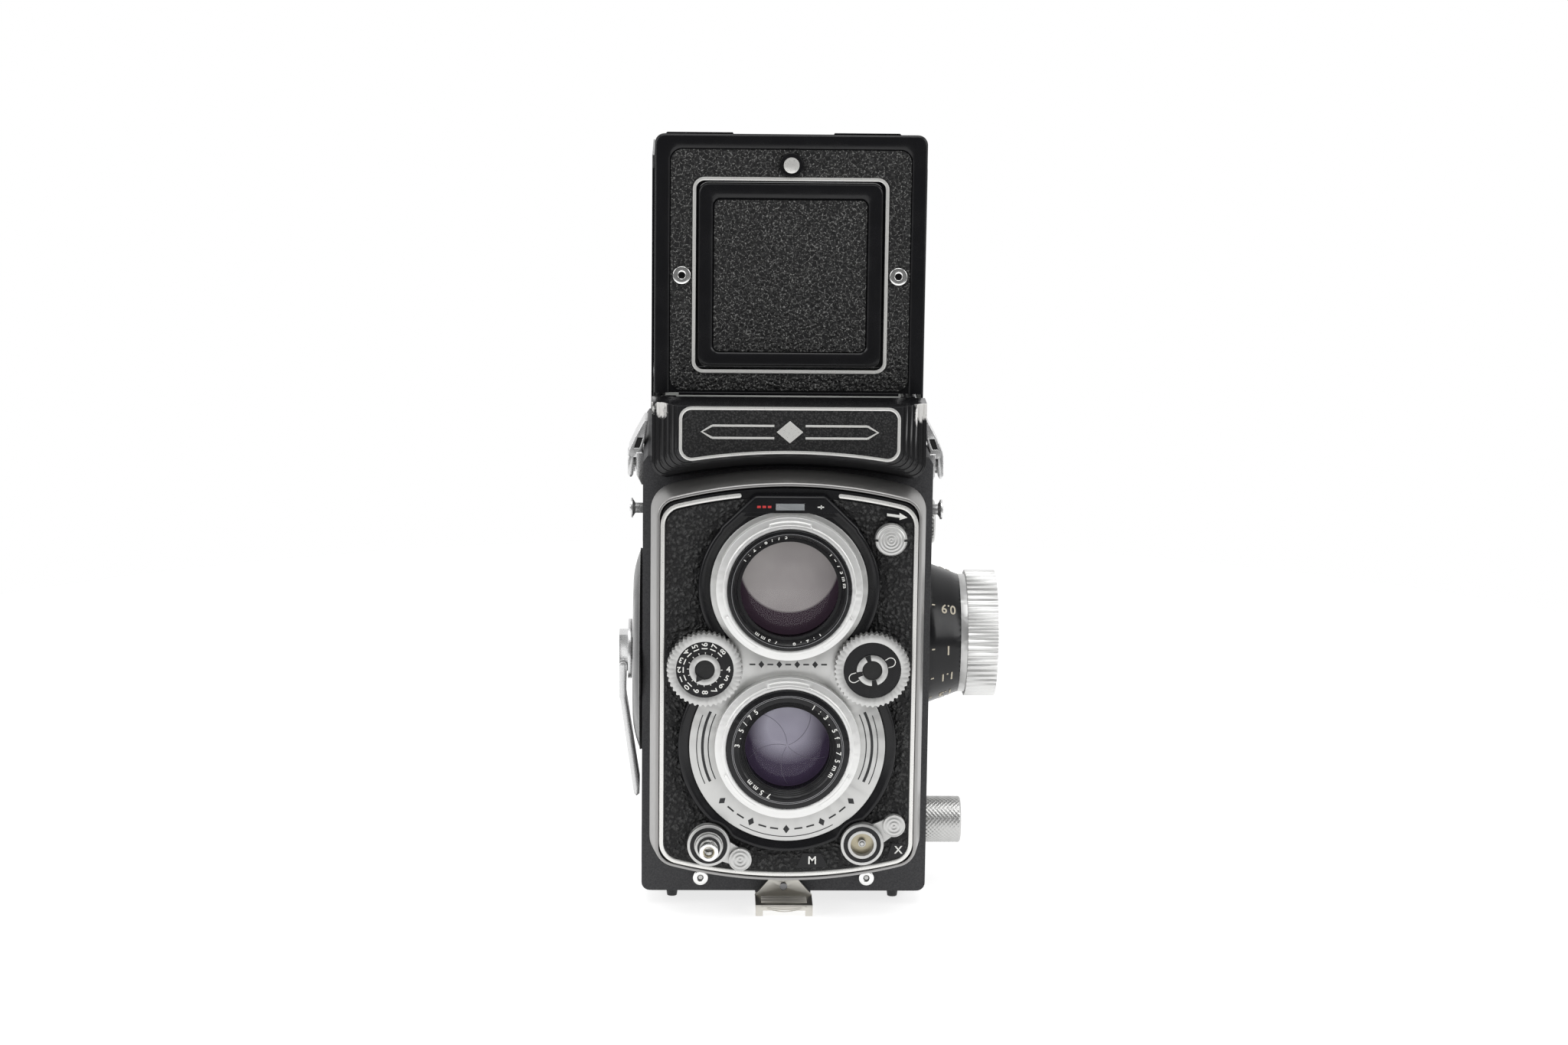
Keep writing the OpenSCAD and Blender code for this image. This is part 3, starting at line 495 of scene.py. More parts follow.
def sweep(name, path, section, material, body, closed=True, round_end=0.0, angle=40):
    """Moves a closed section along a path of (x, z) points. The section holds (outward offset, y) pairs, and
    round_end narrows both ends of an open path to a half circle of that radius."""
    path = distinct(path)
    offsets = outward(path, closed)
    rows = [(q, d, 1.0) for q, d in zip(path, offsets)]
    if round_end:
        for at, near in ((0, 1), (-1, -2)):
            (ax, az), (bx, bz) = path[at], path[near]
            length = hypot(ax - bx, az - bz)
            ux, uz = (ax - bx) / length, (az - bz) / length
            extra = [((ax + ux * round_end * sin(a), az + uz * round_end * sin(a)), offsets[at],
                      max(cos(a), 0.08)) for a in (0.45, 0.85, 1.2, 1.5)]
            rows = extra[::-1] + rows if at == 0 else rows + extra
    m = len(section)
    verts = [(q[0] + d[0] * off * scale, y, q[1] + d[1] * off * scale) for q, d, scale in rows for off, y in section]
    faces = []
    for k in range(len(rows) if closed else len(rows) - 1):
        j = (k + 1) % len(rows)
        faces += [(k * m + i, j * m + i, j * m + (i + 1) % m, k * m + (i + 1) % m) for i in range(m)]
    if not closed:
        faces += [tuple(range(m)), tuple(range((len(rows) - 1) * m, len(rows) * m))[::-1]]
    return add(name, verts, faces, material, body, 0, angle)


def holed_slab(name, outline, holes, y0, y1, material, body, edge=0.0):
    """A flat piece with holes; outline and holes are lists of (x, z) points."""
    loops = [distinct(loop) for loop in (outline, *holes)]
    flat = [q for loop in loops for q in loop]
    n = len(flat)
    triangles = tessellate_polygon([[Vector((x, z, 0)) for x, z in loop] for loop in loops])
    verts = [(x, y, z) for y in (y0, y1) for x, z in flat]
    faces = [tuple(tri) for tri in triangles] + [tuple(n + k for k in tri[::-1]) for tri in triangles]
    start = 0
    for loop in loops:
        for k in range(len(loop)):
            a, b = start + k, start + (k + 1) % len(loop)
            faces.append((a, b, n + b, n + a))
        start += len(loop)
    return add(name, verts, faces, material, body, edge)


def loft(name, rows, material, body, closed=True, angle=45):
    """Joins outlines that have the same number of points into one solid ring. rows holds (outline, y) pairs."""
    n = len(rows[0][0])
    verts = [(x, y, z) for outline, y in rows for x, z in outline]
    faces = []
    for i in range(len(rows)):
        a, b = i * n, (i + 1) % len(rows) * n
        faces += [(a + k, a + (k + 1) % n, b + (k + 1) % n, b + k) for k in range(n if closed else n - 1)]
    if not closed:
        faces += [tuple(i * n for i in range(len(rows))), tuple(i * n + n - 1 for i in range(len(rows)))[::-1]]
    return add(name, verts, faces, material, body, 0, angle)


def bead(radius, y, count=12):
    """Round section of a bead with its centre at y."""
    return [(radius * cos(2 * pi * k / count), y + radius * sin(2 * pi * k / count))
            for k in range(count)]


def strip(half, back, face):
    """Section of a slightly domed flat strip."""
    return [(-half, back), (-half, face + 0.22), (-half * 0.85, face + 0.07), (-half * 0.45, face), (half * 0.45, face),
            (half * 0.85, face + 0.07), (half, face + 0.22), (half, back)]


def corner(cx, cz, radius, start, end, count=8):
    return arc_points((cx, 0, cz), radius, start, end, count)


def rounded(x0, x1, z0, z1, r):
    return (corner(x1 - r, z1 - r, r, 0, 90) + corner(x0 + r, z1 - r, r, 90, 180) + corner(x0 + r, z0 + r, r, 180, 270)
            + corner(x1 - r, z0 + r, r, 270, 360))


def arched(w, low, high, r, big=120.0):
    """Outline with arched top and bottom, anticlockwise from the upper right corner."""
    run = w - r
    rise = sqrt((big - r) ** 2 - run ** 2)
    top, bottom = high - big + rise, low + big - rise
    lean = degrees(asin(run / (big - r)))
    return (corner(run, top, r, 0, 90 - lean) + corner(0, high - big, big, 90 - lean, 90 + lean, 40)
            + corner(-run, top, r, 90 + lean, 180) + corner(-run, bottom, r, 180, 270 - lean)
            + corner(0, low + big, big, 270 - lean, 270 + lean, 40) + corner(run, bottom, r, 270 + lean, 360))


def hanging(w, low, high, top_r, r, big):
    """Outline that hangs over an arch, anticlockwise from the upper right corner."""
    run = w - r
    base = low + r - sqrt((big + r) ** 2 - run ** 2)
    lean = degrees(asin(run / (big + r)))
    top = (corner(w - top_r, high - top_r, top_r, 0, 90) + corner(top_r - w, high - top_r, top_r, 90, 180)
           if top_r else [(w, high), (-w, high)])
    return (top + corner(-run, low + r, r, 180, 270 + lean, 12) + corner(0, base, big, 90 + lean, 90 - lean, 40)
            + corner(run, low + r, r, 270 - lean, 360, 12))


def circle(x, z, radius, count=96):
    return corner(x, z, radius, 0, 360, count)


def polar(centre, radius, turn):
    """The (x, z) point on a circle; turn is in degrees from +X towards +Z."""
    a = radians(turn)
    return centre[0] + radius * cos(a), centre[2] + radius * sin(a)


def arc_points(centre, radius, start, end, count=16):
    return [polar(centre, radius, start + (end - start) * k / count) for k in range(count + 1)]


def leaned(points, centre, lean):
    """Flat (u, w) points turned by lean radians and moved to centre, as (x, z) points."""
    c, s = cos(lean), sin(lean)
    return [(centre[0] + u * c - w * s, centre[2] + u * s + w * c) for u, w in points]


def decal(name, outline, y, material):
    """A thin mark on the lens board that stands just proud of the face at y."""
    slab(name, outline, y - 0.03, y + 0.05, material, "standard", 0)


GLYPHS = {}


def glyph(text):
    """Mesh of a short text, one unit high, centred, in the XY plane."""
    if text not in GLYPHS:
        curve = bpy.data.curves.new("glyph", "FONT")
        curve.body = text
        curve.align_x, curve.align_y = "CENTER", "CENTER"
        curve.extrude = 0.025
        curve.offset = 0.012
        curve.resolution_u = 3
        holder = linked("glyph", curve)
        bpy.context.view_layer.update()
        GLYPHS[text] = bpy.data.meshes.new_from_object(holder.evaluated_get(bpy.context.evaluated_depsgraph_get()))
        bpy.data.objects.remove(holder)
    return GLYPHS[text]


def lettering(name, marks, material, body):
    """One piece from several (text, size, matrix); the matrix places the glyph, in millimetres."""
    made = bmesh.new()
    for text, size, place in marks:
        start = len(made.verts)
        made.from_mesh(glyph(text))
        made.verts.ensure_lookup_table()
        for v in made.verts[start:]:
            v.co = (place @ (v.co * size)) * MM
    mesh = bpy.data.meshes.new(name)
    made.to_mesh(mesh)
    made.free()
    obj = linked(name, mesh)
    obj.data.materials.append(material)
    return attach(obj, body)


FACING = Matrix.Rotation(radians(90), 4, "X")


def on_circle(centre, radius, y, clock, turn=0.0):
    """Place of a glyph on a forward-facing circle. clock is degrees clockwise from the top."""
    a = radians(clock)
    spot = Vector((centre[0] + radius * sin(a), y, centre[2] + radius * cos(a)))
    return Matrix.Translation(spot) @ Matrix.Rotation(a + radians(turn), 4, "Y") @ FACING


# ---- CAD nodes ----

EDGES = {"body_casting": 0.35, "back_door": 0.35, "nameplate_casting": 0.1, "hood_base": 0.3, "focus_dial": 0.2,
         "crank_arm": 0.3, "back_latch": 0.2, "view_bayonet": 0.12, "taking_bayonet": 0.12, "crank_plate": 0.25,
         "strap_lug_left": 0.3, "strap_lug_right": 0.3, "shutter_blades": 0, "ground_glass": 0,
         "view_glass": 0, "taking_glass": 0, "magnifier_lens": 0, "board_leather": 0.12,
         "indicator_window": 0.05, "hood_side_left": 0.1, "hood_side_right": 0.1, "hood_rear_panel": 0}


def dress_nodes():
    for material, names in NODE_MATERIALS.items():
        for name in names.split():
            dress(NODES[name], material, EDGES.get(name, 0.12))


# ---- Lens board ----


def lens_holes():
    """Holes for both lenses and for the pins of the two wheels."""
    return ([circle(hub.x, hub.z, LENS_BORE) for hub in (VIEW, TAKING)]
            + [circle(hub.x, hub.z, PIN_BORE, 32) for hub in (APERTURE, SPEED)])


def board():
    """Brushed rim, black face and guide posts in place of the plain casting."""
    face = front("standard_casting")
    rim_back = face + 10
    holes = lens_holes() + [circle(TIMER.x, TIMER.z, PIN_BORE, 32), circle(RELEASE.x, RELEASE.z, 2.5, 48)]
    plate = holed_slab("board_face", arched(32.6, 13.5, 116.5, 4.2), holes, face, face + 2.4, GLOSS, "standard")
    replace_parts(plate, "standard_casting")
    outer = arched(35.5, 10.6, 119.4, 7)
    sweep("board_rim", outer, [(0, rim_back), (-1.45, face + 0.5), (-1.6, face + 0.12), (-1.8, face - 0.04),
                               (-2.1, face - 0.1), (-2.35, face - 0.02), (-2.45, face + 0.15), (-3.1, face + 1.2),
                               (-3.1, rim_back)], BRUSHED, "standard", angle=30)
    post = [(0.02, -16), (1.9, -16), (2, -16.1), (2, face + 2.3), (0.02, face + 2.3)]
    for side, letter in SIDES:
        for z in (40, 108):
            lathe(f"guide_post_{letter}_{z}", post, "y", (side * 27.5, 0, z), STEEL, "standard", segments=32)
    trim = distinct(arched(32.4, 13.95, 115.25, 5.2))
    gap = 11.8
    left = next(k for k, q in enumerate(trim) if q[1] > 100 and q[0] < -gap)
    right = max(k for k, q in enumerate(trim[:left]) if q[0] > gap and q[1] > 100)
    path = trim[left:] + trim[:right + 1]
    rim = sweep("board_trim_strip", path, strip(0.55, face, front("board_trim")), TRIM, "standard", closed=False,
                round_end=0.5)
    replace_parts(rim, "board_trim")


def surround_path():
    """Outline of the ridge round both lenses, clear of the two socket levers."""
    clearance = 5.8
    upper, lower = (0, 0, VIEW.z - 0.3), (0, 0, TAKING.z - 0.4)
    right = (arc_points(lower, 28.2, -90, 34.6, 60) + arc_points(upper, 23.3, -33.1, 39.5, 36)
             + [(17.5, 106.8), (13.3, 110.8), (9.4, 114.5), (8.6, 114.9)])
    path = right + [(-x, z) for x, z in right[::-1]]
    moved = []
    for x, z in path:
        for spot in (RELEASE, FLASH):
            dx, dz = x - spot.x, z - spot.z
            away = hypot(dx, dz)
            if away < clearance:
                ux, uz = -x, lower[2] - z
                size = hypot(ux, uz)
                ux, uz = ux / size, uz / size
                along = dx * ux + dz * uz
                step = -along + sqrt(along * along - away * away + clearance ** 2)
                x, z = x + ux * step, z + uz * step
        moved.append((x, z))
    return distinct(moved)


def surround():
    """Gloss ridge that slopes in towards the lens flanges."""
    crest, floor, back = front("lens_surround"), ESCUTCHEON_Y + 0.6, rear("lens_surround")
    path = surround_path()
    inner = [(x + d[0] * -1.2, z + d[1] * -1.2) for (x, z), d in zip(path, outward(path, True))]
    base = holed_slab("surround_base", inner, lens_holes(), floor, back, GLOSS, "standard")
    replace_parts(base, "lens_surround")
    sweep("surround_ridge", path, [(0, back), (0, crest + 0.75), (-0.12, crest + 0.35), (-0.4, crest + 0.08),
                                   (-0.75, crest), (-1.1, crest + 0.06), (-1.6, crest + 0.3), (-2.9, floor - 0.05),
                                   (-2.9, floor + 0.3), (-1.3, back)], GLOSS, "standard", angle=45)
    slab("surround_top", [(-8.7, 114.2), (8.7, 114.2), (12.6, 110.5), (-12.6, 110.5)], crest, floor + 0.2, GLOSS,
         "standard", 0.1)
    slab("surround_slope", [(-12.6, 110.7), (12.6, 110.7), (13.6, 109.3), (-13.6, 109.3)], crest + 0.35, floor + 0.2,
         GLOSS, "standard", 0.25)


# ---- Lens board details ----


def name_ring(prefix, centre, radius, size, y, words):
    """Generic figures on a lens's name ring, tops outward."""
    marks = []
    for text, clock in words:
        step = degrees(size * 1.12 / radius)
        for k, letter in enumerate(text):
            at = clock + (k - (len(text) - 1) / 2) * step
            marks.append((letter, size, on_circle(centre, radius, y - 0.03, at)))
    lettering(prefix + "_figures", marks, WHITE_FILL, "standard")


def lens_details():
    view_front, taking_front = front("view_barrel"), front("taking_barrel")
    name_ring("view_ring", VIEW, 14.1, 1.6, view_front + 0.25,
              [("1:2.8/75", -30), ("f=75mm", 66), ("1:2.8", 160), ("75mm", 205)])
    name_ring("taking_ring", TAKING, 13.0, 1.85, taking_front,
              [("1:3.5", 48), ("f=75mm", 98), ("3.5/75", -62), ("75mm", 215)])
    # Glowing discs painted with the reflection and shade seen through each lens
    disc("view_painted_reflection_disc", 12.9, VIEW_FLOOR, VIEW_FLOOR + 0.1, VIEW, VIEW_PAINTED_REFLECTION, "standard", 0)
    disc("taking_painted_reflection_disc", 10.9, TAKING_FLOOR, TAKING_FLOOR + 0.1, TAKING, TAKING_PAINTED_REFLECTION, "standard", 0)
    for k in range(5):
        turn = 72 * k + 20
        x, z = polar(TAKING, 9, turn + 90)
        seam = arc_points((x, 0, z), 9, turn - 88, turn - 20, 12)
        slab(f"blade_seam_{k}", stroke(seam, 0.07), TAKING_FLOOR - 0.08, TAKING_FLOOR, SEAM, "standard", 0)
    ring("view_retainer", 12.5, 13.6, -51.9, -50.6, VIEW, BLACK_ALLOY, "standard")
    ring("view_ring_line", 14.72, 14.86, view_front - 0.02, view_front + 0.2, VIEW, STEEL, "standard", 0)
    for k, (r, y) in enumerate([(12.3, -52.9), (11.9, -52.5), (11.5, -52.1), (11.1, -51.7)]):
        ring(f"taking_step_{k}", r - 0.1, r + 0.1, y - 0.1, y + 0.5, TAKING, BLACK_ALLOY, "standard", 0.04)
    for k, r in enumerate((14.0, 14.35)):
        ring(f"taking_groove_{k}", r - 0.06, r + 0.06, taking_front - 0.04, taking_front + 0.2, TAKING, STEEL,
             "standard", 0)
    lathe("taking_knurl", [(15.7, -53.2), (15.7, -52.2), (14.9, -52.2), (14.9, -53.2)], "y", TAKING,
          BLACK_ALLOY, "standard", segments=360, closed=True,
          wave=lambda r, y, a: 0.1 * copysign(1, sin(90 * a)) if r > 15.5 else 0)


def lozenge(x, z, w, h):
    return [(x - w, z), (x, z + h), (x + w, z), (x, z - h)]


def escutcheon_details():
    """Engraved arcs at the sides, and plain ornaments on the waist and the lower rim."""
    y = ESCUTCHEON_Y
    rim = (0, 0, TAKING.z - 0.4)
    for side, letter in SIDES:
        for k, (r, thick, start, end) in enumerate([(23.4, 0.23, 158.8, 205.2), (21.9, 0.7, 154.8, 205.2),
                                                    (20.4, 0.27, 154.8, 205.2)]):
            points = [(-side * px, pz) for px, pz in arc_points(rim, r, start, end, 24)]
            decal(f"escutcheon_line_{k}_{letter}", stroke(points, thick), y, DARK_FILL)
    for k in range(13):
        clock = 221 + 98 * k / 12
        x, z = polar(rim, 22.1, clock)
        tilt = radians(clock) + pi / 2
        if k % 3:
            mark = stroke(leaned([(-1.05, 0), (1.05, 0)], (x, 0, z), tilt), 0.42)
        else:
            mark = leaned(lozenge(0, 0, 0.85, 1.15), (x, 0, z), tilt)
        decal(f"rim_ornament_{k}", mark, y, DARK_FILL)
    decal("rim_ornament_line", stroke(arc_points(rim, 24.1, 240, 300, 30), 0.2), y, DARK_FILL)
    waist = APERTURE.z + 0.6
    for k in range(9):
        x = (k - 4) * 2.3
        mark = lozenge(x, waist, 0.75, 0.95) if k % 2 else stroke([(x - 0.75, waist), (x + 0.75, waist)], 0.4)
        decal(f"waist_ornament_{k}", mark, y, DARK_FILL)


def dial_loop(centre, side):
    """One of the two small loops on the speed wheel's face."""
    loop = [(4.1, -1.05)] + [(5.1 + 1.25 * cos(a), 1.2 * sin(a))
                             for a in (pi * (k / 14 - 0.5) for k in range(15))] + [(4.1, 1.05)]
    return leaned([(side * u, side * w) for u, w in loop], centre, radians(24))


def wheel_details():
    face = front("aperture_wheel") + 0.62
    for prefix, centre, body in (("aperture", APERTURE, "aperture_wheel"), ("speed", SPEED, "speed_wheel")):
        ring(f"{prefix}_face", 3.95, 7.38, face, face + 0.25, centre, BLACK_ALLOY, body)
        disc(f"{prefix}_centre", 2.55, face - 0.3, face + 0.2, centre, MATT_BLACK, body)
    marks = []
    for value in range(4, 19):
        clock = 90 + (value - 4) * 22.5
        marks.append((str(value), 2.15, on_circle(APERTURE, 6.05, face - 0.03, clock, -90)))
        marks.append(("-", 1.7, on_circle(APERTURE, 4.3, face - 0.03, clock, -90)))
    lettering("aperture_figures", marks, WHITE_FILL, "aperture_wheel")
    pointer = [*arc_points(APERTURE, 2.3, 205, 268, 6), polar(APERTURE, 4.0, 236)]
    slab("aperture_pointer", pointer, face - 0.645, face - 0.5, MATT_BLACK, "aperture_wheel", 0)
    for side, letter in SIDES:
        slab(f"speed_loop_{letter}", stroke(dial_loop(SPEED, side), 0.2), face - 0.04, face + 0.04, WHITE_FILL,
             "speed_wheel", 0)
    for k, lean in enumerate((108, 196, 280)):
        slab(f"speed_notch_{k}", stroke(arc_points(SPEED, 3.3, lean - 11, lean + 11, 6), 1.45), face - 0.645,
             face - 0.5, BLACK_ALLOY, "speed_wheel", 0)


def ridged(name, radius, front_y, back_y, centre, material, body, ridges, depth=0.16):
    """A disc whose face is covered with concentric ridges."""
    steps = ridges * 6
    profile = [(0.02, front_y)]
    for k in range(1, steps):
        r = radius * k / steps
        profile.append((r, front_y + depth * (0.5 - 0.5 * cos(2 * pi * k / 6)) + 0.1 * (r / radius) ** 3))
    profile += [(radius, front_y + 0.25), (radius, back_y)]
    return lathe(name, profile, "y", centre, material, body, angle=70)


def lever(name, pivot, finger, radius, node):
    """Flat lever round a socket with a ridged finger disc. finger is the disc's place from the pivot."""
    front_y, back_y = front(node), rear(node)
    reach, lean = hypot(*finger), atan2(finger[1], finger[0])
    opening = 0.55
    turns = [opening + (2 * pi - 2 * opening) * k / 32 for k in range(33)]
    plate = [(5.5 * cos(a), 5.5 * sin(a)) for a in turns] + [(reach - 0.6, -2.35), (reach - 0.6, 2.35)]
    hole = [(4.7 * cos(a), 4.7 * sin(a)) for a in turns] + [(4.7, -0.9), (4.7, 0.9)]
    place = [leaned(outline, pivot, lean) for outline in (plate, hole)]
    n = len(plate)
    verts = [(x, y, z) for y in (back_y - 0.9, back_y) for outline in place for x, z in outline]
    faces = []
    for k in range(n):
        j = (k + 1) % n
        faces += [(k, j, n + j, n + k), (2 * n + k, 3 * n + k, 3 * n + j, 2 * n + j),
                  (k, 2 * n + k, 2 * n + j, j), (n + k, n + j, 3 * n + j, 3 * n + k)]
    plate_piece = add(name + "_plate", verts, faces, SATIN, node, 0.1)
    spot = (pivot[0] + finger[0], 0, pivot[2] + finger[1])
    ridged(name + "_finger", radius, front_y + 0.02, back_y - 0.3, spot, SATIN, node, 3)
    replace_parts(plate_piece, node)


def socket_details():
    lever("release_lock_lever", RELEASE, (8.2, -4), 3, "release_lock")
    lever("sync_lever_arm", FLASH, (8.2, 4.8), 2.9, "sync_lever")
    face, floor = -50.1, -47.45
    for prefix, centre in (("release", RELEASE), ("flash", FLASH)):
        ring(f"{prefix}_black_ring", 3.75, 4.85, face - 0.18, face, centre, BLACK_ALLOY, "standard", 0.05)
    ring("release_inner_shade", 2.5, 2.95, -52.04, -51.9, RELEASE, DARK_FILL, "standard", 0)
    ring("flash_rim", 3.0, 3.75, face - 0.4, face, FLASH, SATIN, "standard", 0.12)
    disc("flash_floor", 3.05, floor - 0.3, floor, FLASH, AGED_BRASS, "standard", 0)
    ring("flash_collar", 0.62, 1.0, floor - 1.75, floor - 0.15, FLASH, SATIN, "standard", 0.1)
    for k in range(3):
        y = front("release_button") + 0.25 + 0.5 * k
        ring(f"release_thread_{k}", 1.25, 1.52, y, y + 0.25, (RELEASE.x, 0, RELEASE.z), AGED_BRASS,
             "release_button", 0.05)


def timer_details():
    """Ridged self-timer knob with painted shade in its two slits, and the white arrow over it."""
    low, high = front("self_timer_knob"), rear("self_timer_knob")
    knob = lathe("self_timer_ridged", [(0.02, low)] + [
        (4.1 * k / 40, low + 0.55 * (k / 40) ** 2 + 0.12 * (0.5 - 0.5 * cos(2 * pi * k / 8)))
        for k in range(1, 40)] + [(4.1, low + 0.8), (4.1, low + 2.9), (1.5, low + 2.95), (1.5, high)],
        "y", TIMER, SATIN, "self_timer", angle=70)
    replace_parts(knob, "self_timer_knob")
    # Matt black slabs painted as shade where the knob's two slits are
    for side, letter in SIDES:
        slit_shade = stroke([(TIMER.x + side * 3.3, TIMER.z), (TIMER.x + side * 4.12, TIMER.z)], 0.5)
        slab(f"timer_slit_shade_{letter}", slit_shade, low + 0.3, low + 2.2, MATT_BLACK, "self_timer", 0)
    z = TIMER.z + 5.7
    arrow = [(-2.6, 0.35), (0.6, 0.35), (0.6, 0.95), (2.6, 0), (0.6, -0.95), (0.6, -0.35), (-2.6, -0.35)]
    slab("timer_seat", [(23.2, z + 1.9), (30.9, z + 0.9), (31.2, z - 1.9), (25.4, z - 1.9)], BOARD_Y - 0.12,
         BOARD_Y + 0.3, GLOSS, "standard", 0.1)
    slab("timer_arrow", [(TIMER.x + 1.6 + x, z - 0.14 * x + w - 0.1) for x, w in arrow], BOARD_Y - 0.17,
         BOARD_Y + 0.1, WHITE_FILL, "standard", 0.03)


def board_marks():
    """Seats and letters of the sync lever's two settings."""
    y = BOARD_Y
    for k, (outline, letter, size, x, z) in enumerate([
            ([(2.6, 15.6), (4.4, 19.8), (9.2, 19.8), (11.2, 15.9)], "M", 3.0, 6.9, 17.7),
            ([(26.2, 18.2), (27.6, 22.6), (30.9, 22.2), (31.1, 18.9)], "X", 2.9, 29.3, 20.6)]):
        slab(f"setting_seat_{k}", outline, y - 0.12, y + 0.3, GLOSS, "standard", 0.15)
        lettering(f"setting_letter_{k}", [(letter, size, Matrix.Translation((x, y - 0.14, z)) @ FACING)], WHITE_FILL,
                  "standard")


def window_details():
    y = front("lens_surround")
    z = middle("indicator_window").z
    for k in range(3):
        decal(f"scale_mark_{k}", stroke([(-8.4 + 1.35 * k, z), (-7.5 + 1.35 * k, z)], 0.6), y, RED_FILL)
    decal("window_index", stroke([(7.0, z), (8.6, z)], 0.3), y, WHITE_FILL)
    decal("window_index_tick", stroke([(7.9, z - 0.5), (7.9, z + 0.5)], 0.25), y, WHITE_FILL)


# ---- Side controls ----


def cone_place(clock, along, base_x):
    """Place of a glyph on the distance dial, read from the knob's end; clock is degrees from the front upward."""
    base_radius, fall, length = 19.2, 3.4, 9
    a = radians(clock)
    radius = base_radius - fall * along / length + 0.03
    spot = Vector((base_x + along, FOCUS.y - radius * cos(a), FOCUS.z + radius * sin(a)))
    slope = Matrix.Rotation(atan2(fall, length), 4, "Z")
    return Matrix.Translation(spot) @ Matrix.Rotation(-a, 4, "X") @ slope @ FACING @ Matrix.Rotation(pi, 4, "Z")


def focus_details():
    base = right_side("body_leather")
    marks = []
    for text, clock in (("0.9", 35), ("1", -2), ("1.1", -29), ("1.3", -56), ("1.5", -82), ("2", -112), ("3", -142),
                        ("5", -168), ("10", 165), ("25", 135), ("50", 105)):
        marks.append((text, 3.5, cone_place(clock, 5.6, base)))
        marks.append(("-", 3.2, cone_place(clock + 1, 1.5, base)))
    lettering("distance_figures", marks, BRASS_FILL, "focus")
    face = right_side("focus_knob")
    lathe("focus_cap", [(0.01, face - 0.45), (11.5, face - 0.45), (13.6, face - 0.62)], "x", FOCUS, SATIN, "focus",
          edge=0.1)


def diamond_knurl(name, node, body):
    """A film knob with crossed knurling in place of the plain ribbed one."""
    low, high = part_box(node)
    radius = (high.z - low.z) / 2 / MM
    x0, x1 = right_side("body_leather") + 0.5, high.x / MM
    rows = max(int((x1 - x0) / 0.18), 4)
    starts, pitch, depth = 32, 1.1, 0.16

    def cut(r, along, a):
        if r < radius - 0.4:
            return 0
        twist = (along - x0) / pitch * pi
        ridge = depth * abs(sin(starts * a / 2 + twist)) ** 0.5 * abs(sin(starts * a / 2 - twist)) ** 0.5
        return ridge - depth

    profile = [(2.5, x0 - 0.3), (radius - 0.5, x0 - 0.3)]
    profile += [(radius, x0 + (x1 - 0.35 - x0) * k / rows) for k in range(rows + 1)]
    profile += [(radius - 0.5, x1), (0.6, x1)]
    return lathe(name, profile, "x", middle(node), SATIN, body, segments=192, angle=60, wave=cut)


def side_details():
    for name, node in (("upper", "film_knob_upper"), ("lower", "film_knob_lower")):
        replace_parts(diamond_knurl(f"film_knob_{name}_knurled", node, node), node)


# ---- Hood and nameplate ----


def lid():
    """Rounded border, plate and hinge rod in place of the plain lid."""
    face, back = LID_Y + 0.4, rear("hood_lid")
    top, w, foot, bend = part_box("hood_lid")[1].z / MM, 34.9, 137.3, 2.4
    outline = (corner(w - bend, top - bend, bend, 0, 90) + corner(bend - w, top - bend, bend, 90, 180)
               + [(-w, foot), (w, foot)])
    plate = holed_slab("lid_plate", outline, [rounded(-24.25, 24.25, 143.5, 192.3, 2), circle(0, 196.6, 1.06, 32)],
                       face, back, GLOSS, "lid")
    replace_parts(plate, "hood_lid")
    rows = []
    for inset, y in ((0, back), (0, face - 0.1), (0.1, face - 0.38), (0.35, face - 0.57), (0.8, face - 0.65),
                     (2.2, face - 0.62), (3.2, face - 0.5), (3.8, face - 0.28), (4, face), (4, face + 0.2), (1, back)):
        r = bend + 0.15 * inset
        side, high = w - inset, top - 0.95 * inset
        rows.append(([(side, foot)] + corner(side - r, high - r, r, 0, 90) + corner(r - side, high - r, r, 90, 180)
                     + [(-side, foot)], y))
    loft("lid_border", rows, GLOSS, "lid", closed=False)
    lathe("lid_hinge_rod", [(0.02, -28.5), (0.55, -28.5), (0.55, 28.5), (0.02, 28.5)], "x", (0, -24.8, 137.1), GLOSS,
          "lid", segments=24)
    slab("lid_hinge_leaf", [(-28, 137), (28, 137), (28, 137.5), (-28, 137.5)], face, back, GLOSS, "lid", 0)
    strip_path = rounded(-24.75, 24.75, 142.95, 192.95, 2.6)
    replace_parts(sweep("finder_frame_strip", strip_path, strip(0.45, face, front("finder_frame_trim")), TRIM, "lid"),
                "finder_frame_trim")


def flap():
    """Finder flap with a rounded frame, its hinge rod and the bearings of the magnifier's arm."""
    face, floor, back = front("finder_flap"), -24.6, -23.9
    outline = rounded(-23.7, 23.7, 144.1, 191.8, 2.7)
    plate = holed_slab("flap_plate", outline, [], floor, back, GLOSS, "flap")
    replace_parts(plate, "finder_flap")
    rows = []
    for inset, y in ((0, back), (0, face + 0.6), (0.15, face + 0.25), (0.5, face + 0.05), (1.1, face),
                     (2.6, face + 0.06), (3.4, face + 0.25), (3.9, face + 0.55), (4.1, floor), (3.5, floor + 0.3),
                     (1, back)):
        rows.append((rounded(inset - 23.8, 23.8 - inset, 144 + inset, 191.9 - 1.05 * inset, 2.7 - 0.25 * inset), y))
    loft("flap_frame", rows, GLOSS, "flap")
    lathe("flap_hinge_rod", [(0.02, -22), (0.45, -22), (0.45, 22), (0.02, 22)], "x", (0, -24.4, 144.2), STEEL, "flap",
          segments=24)
    for side, x in (("l", -9.6), ("r", 8.2)):
        lathe(f"arm_bearing_{side}", [(0.56, x), (1.38, x), (1.38, x + 1.4), (0.56, x + 1.4)], "x", (0, -22.6, 189.5),
              STEEL, "flap", segments=32, closed=True)


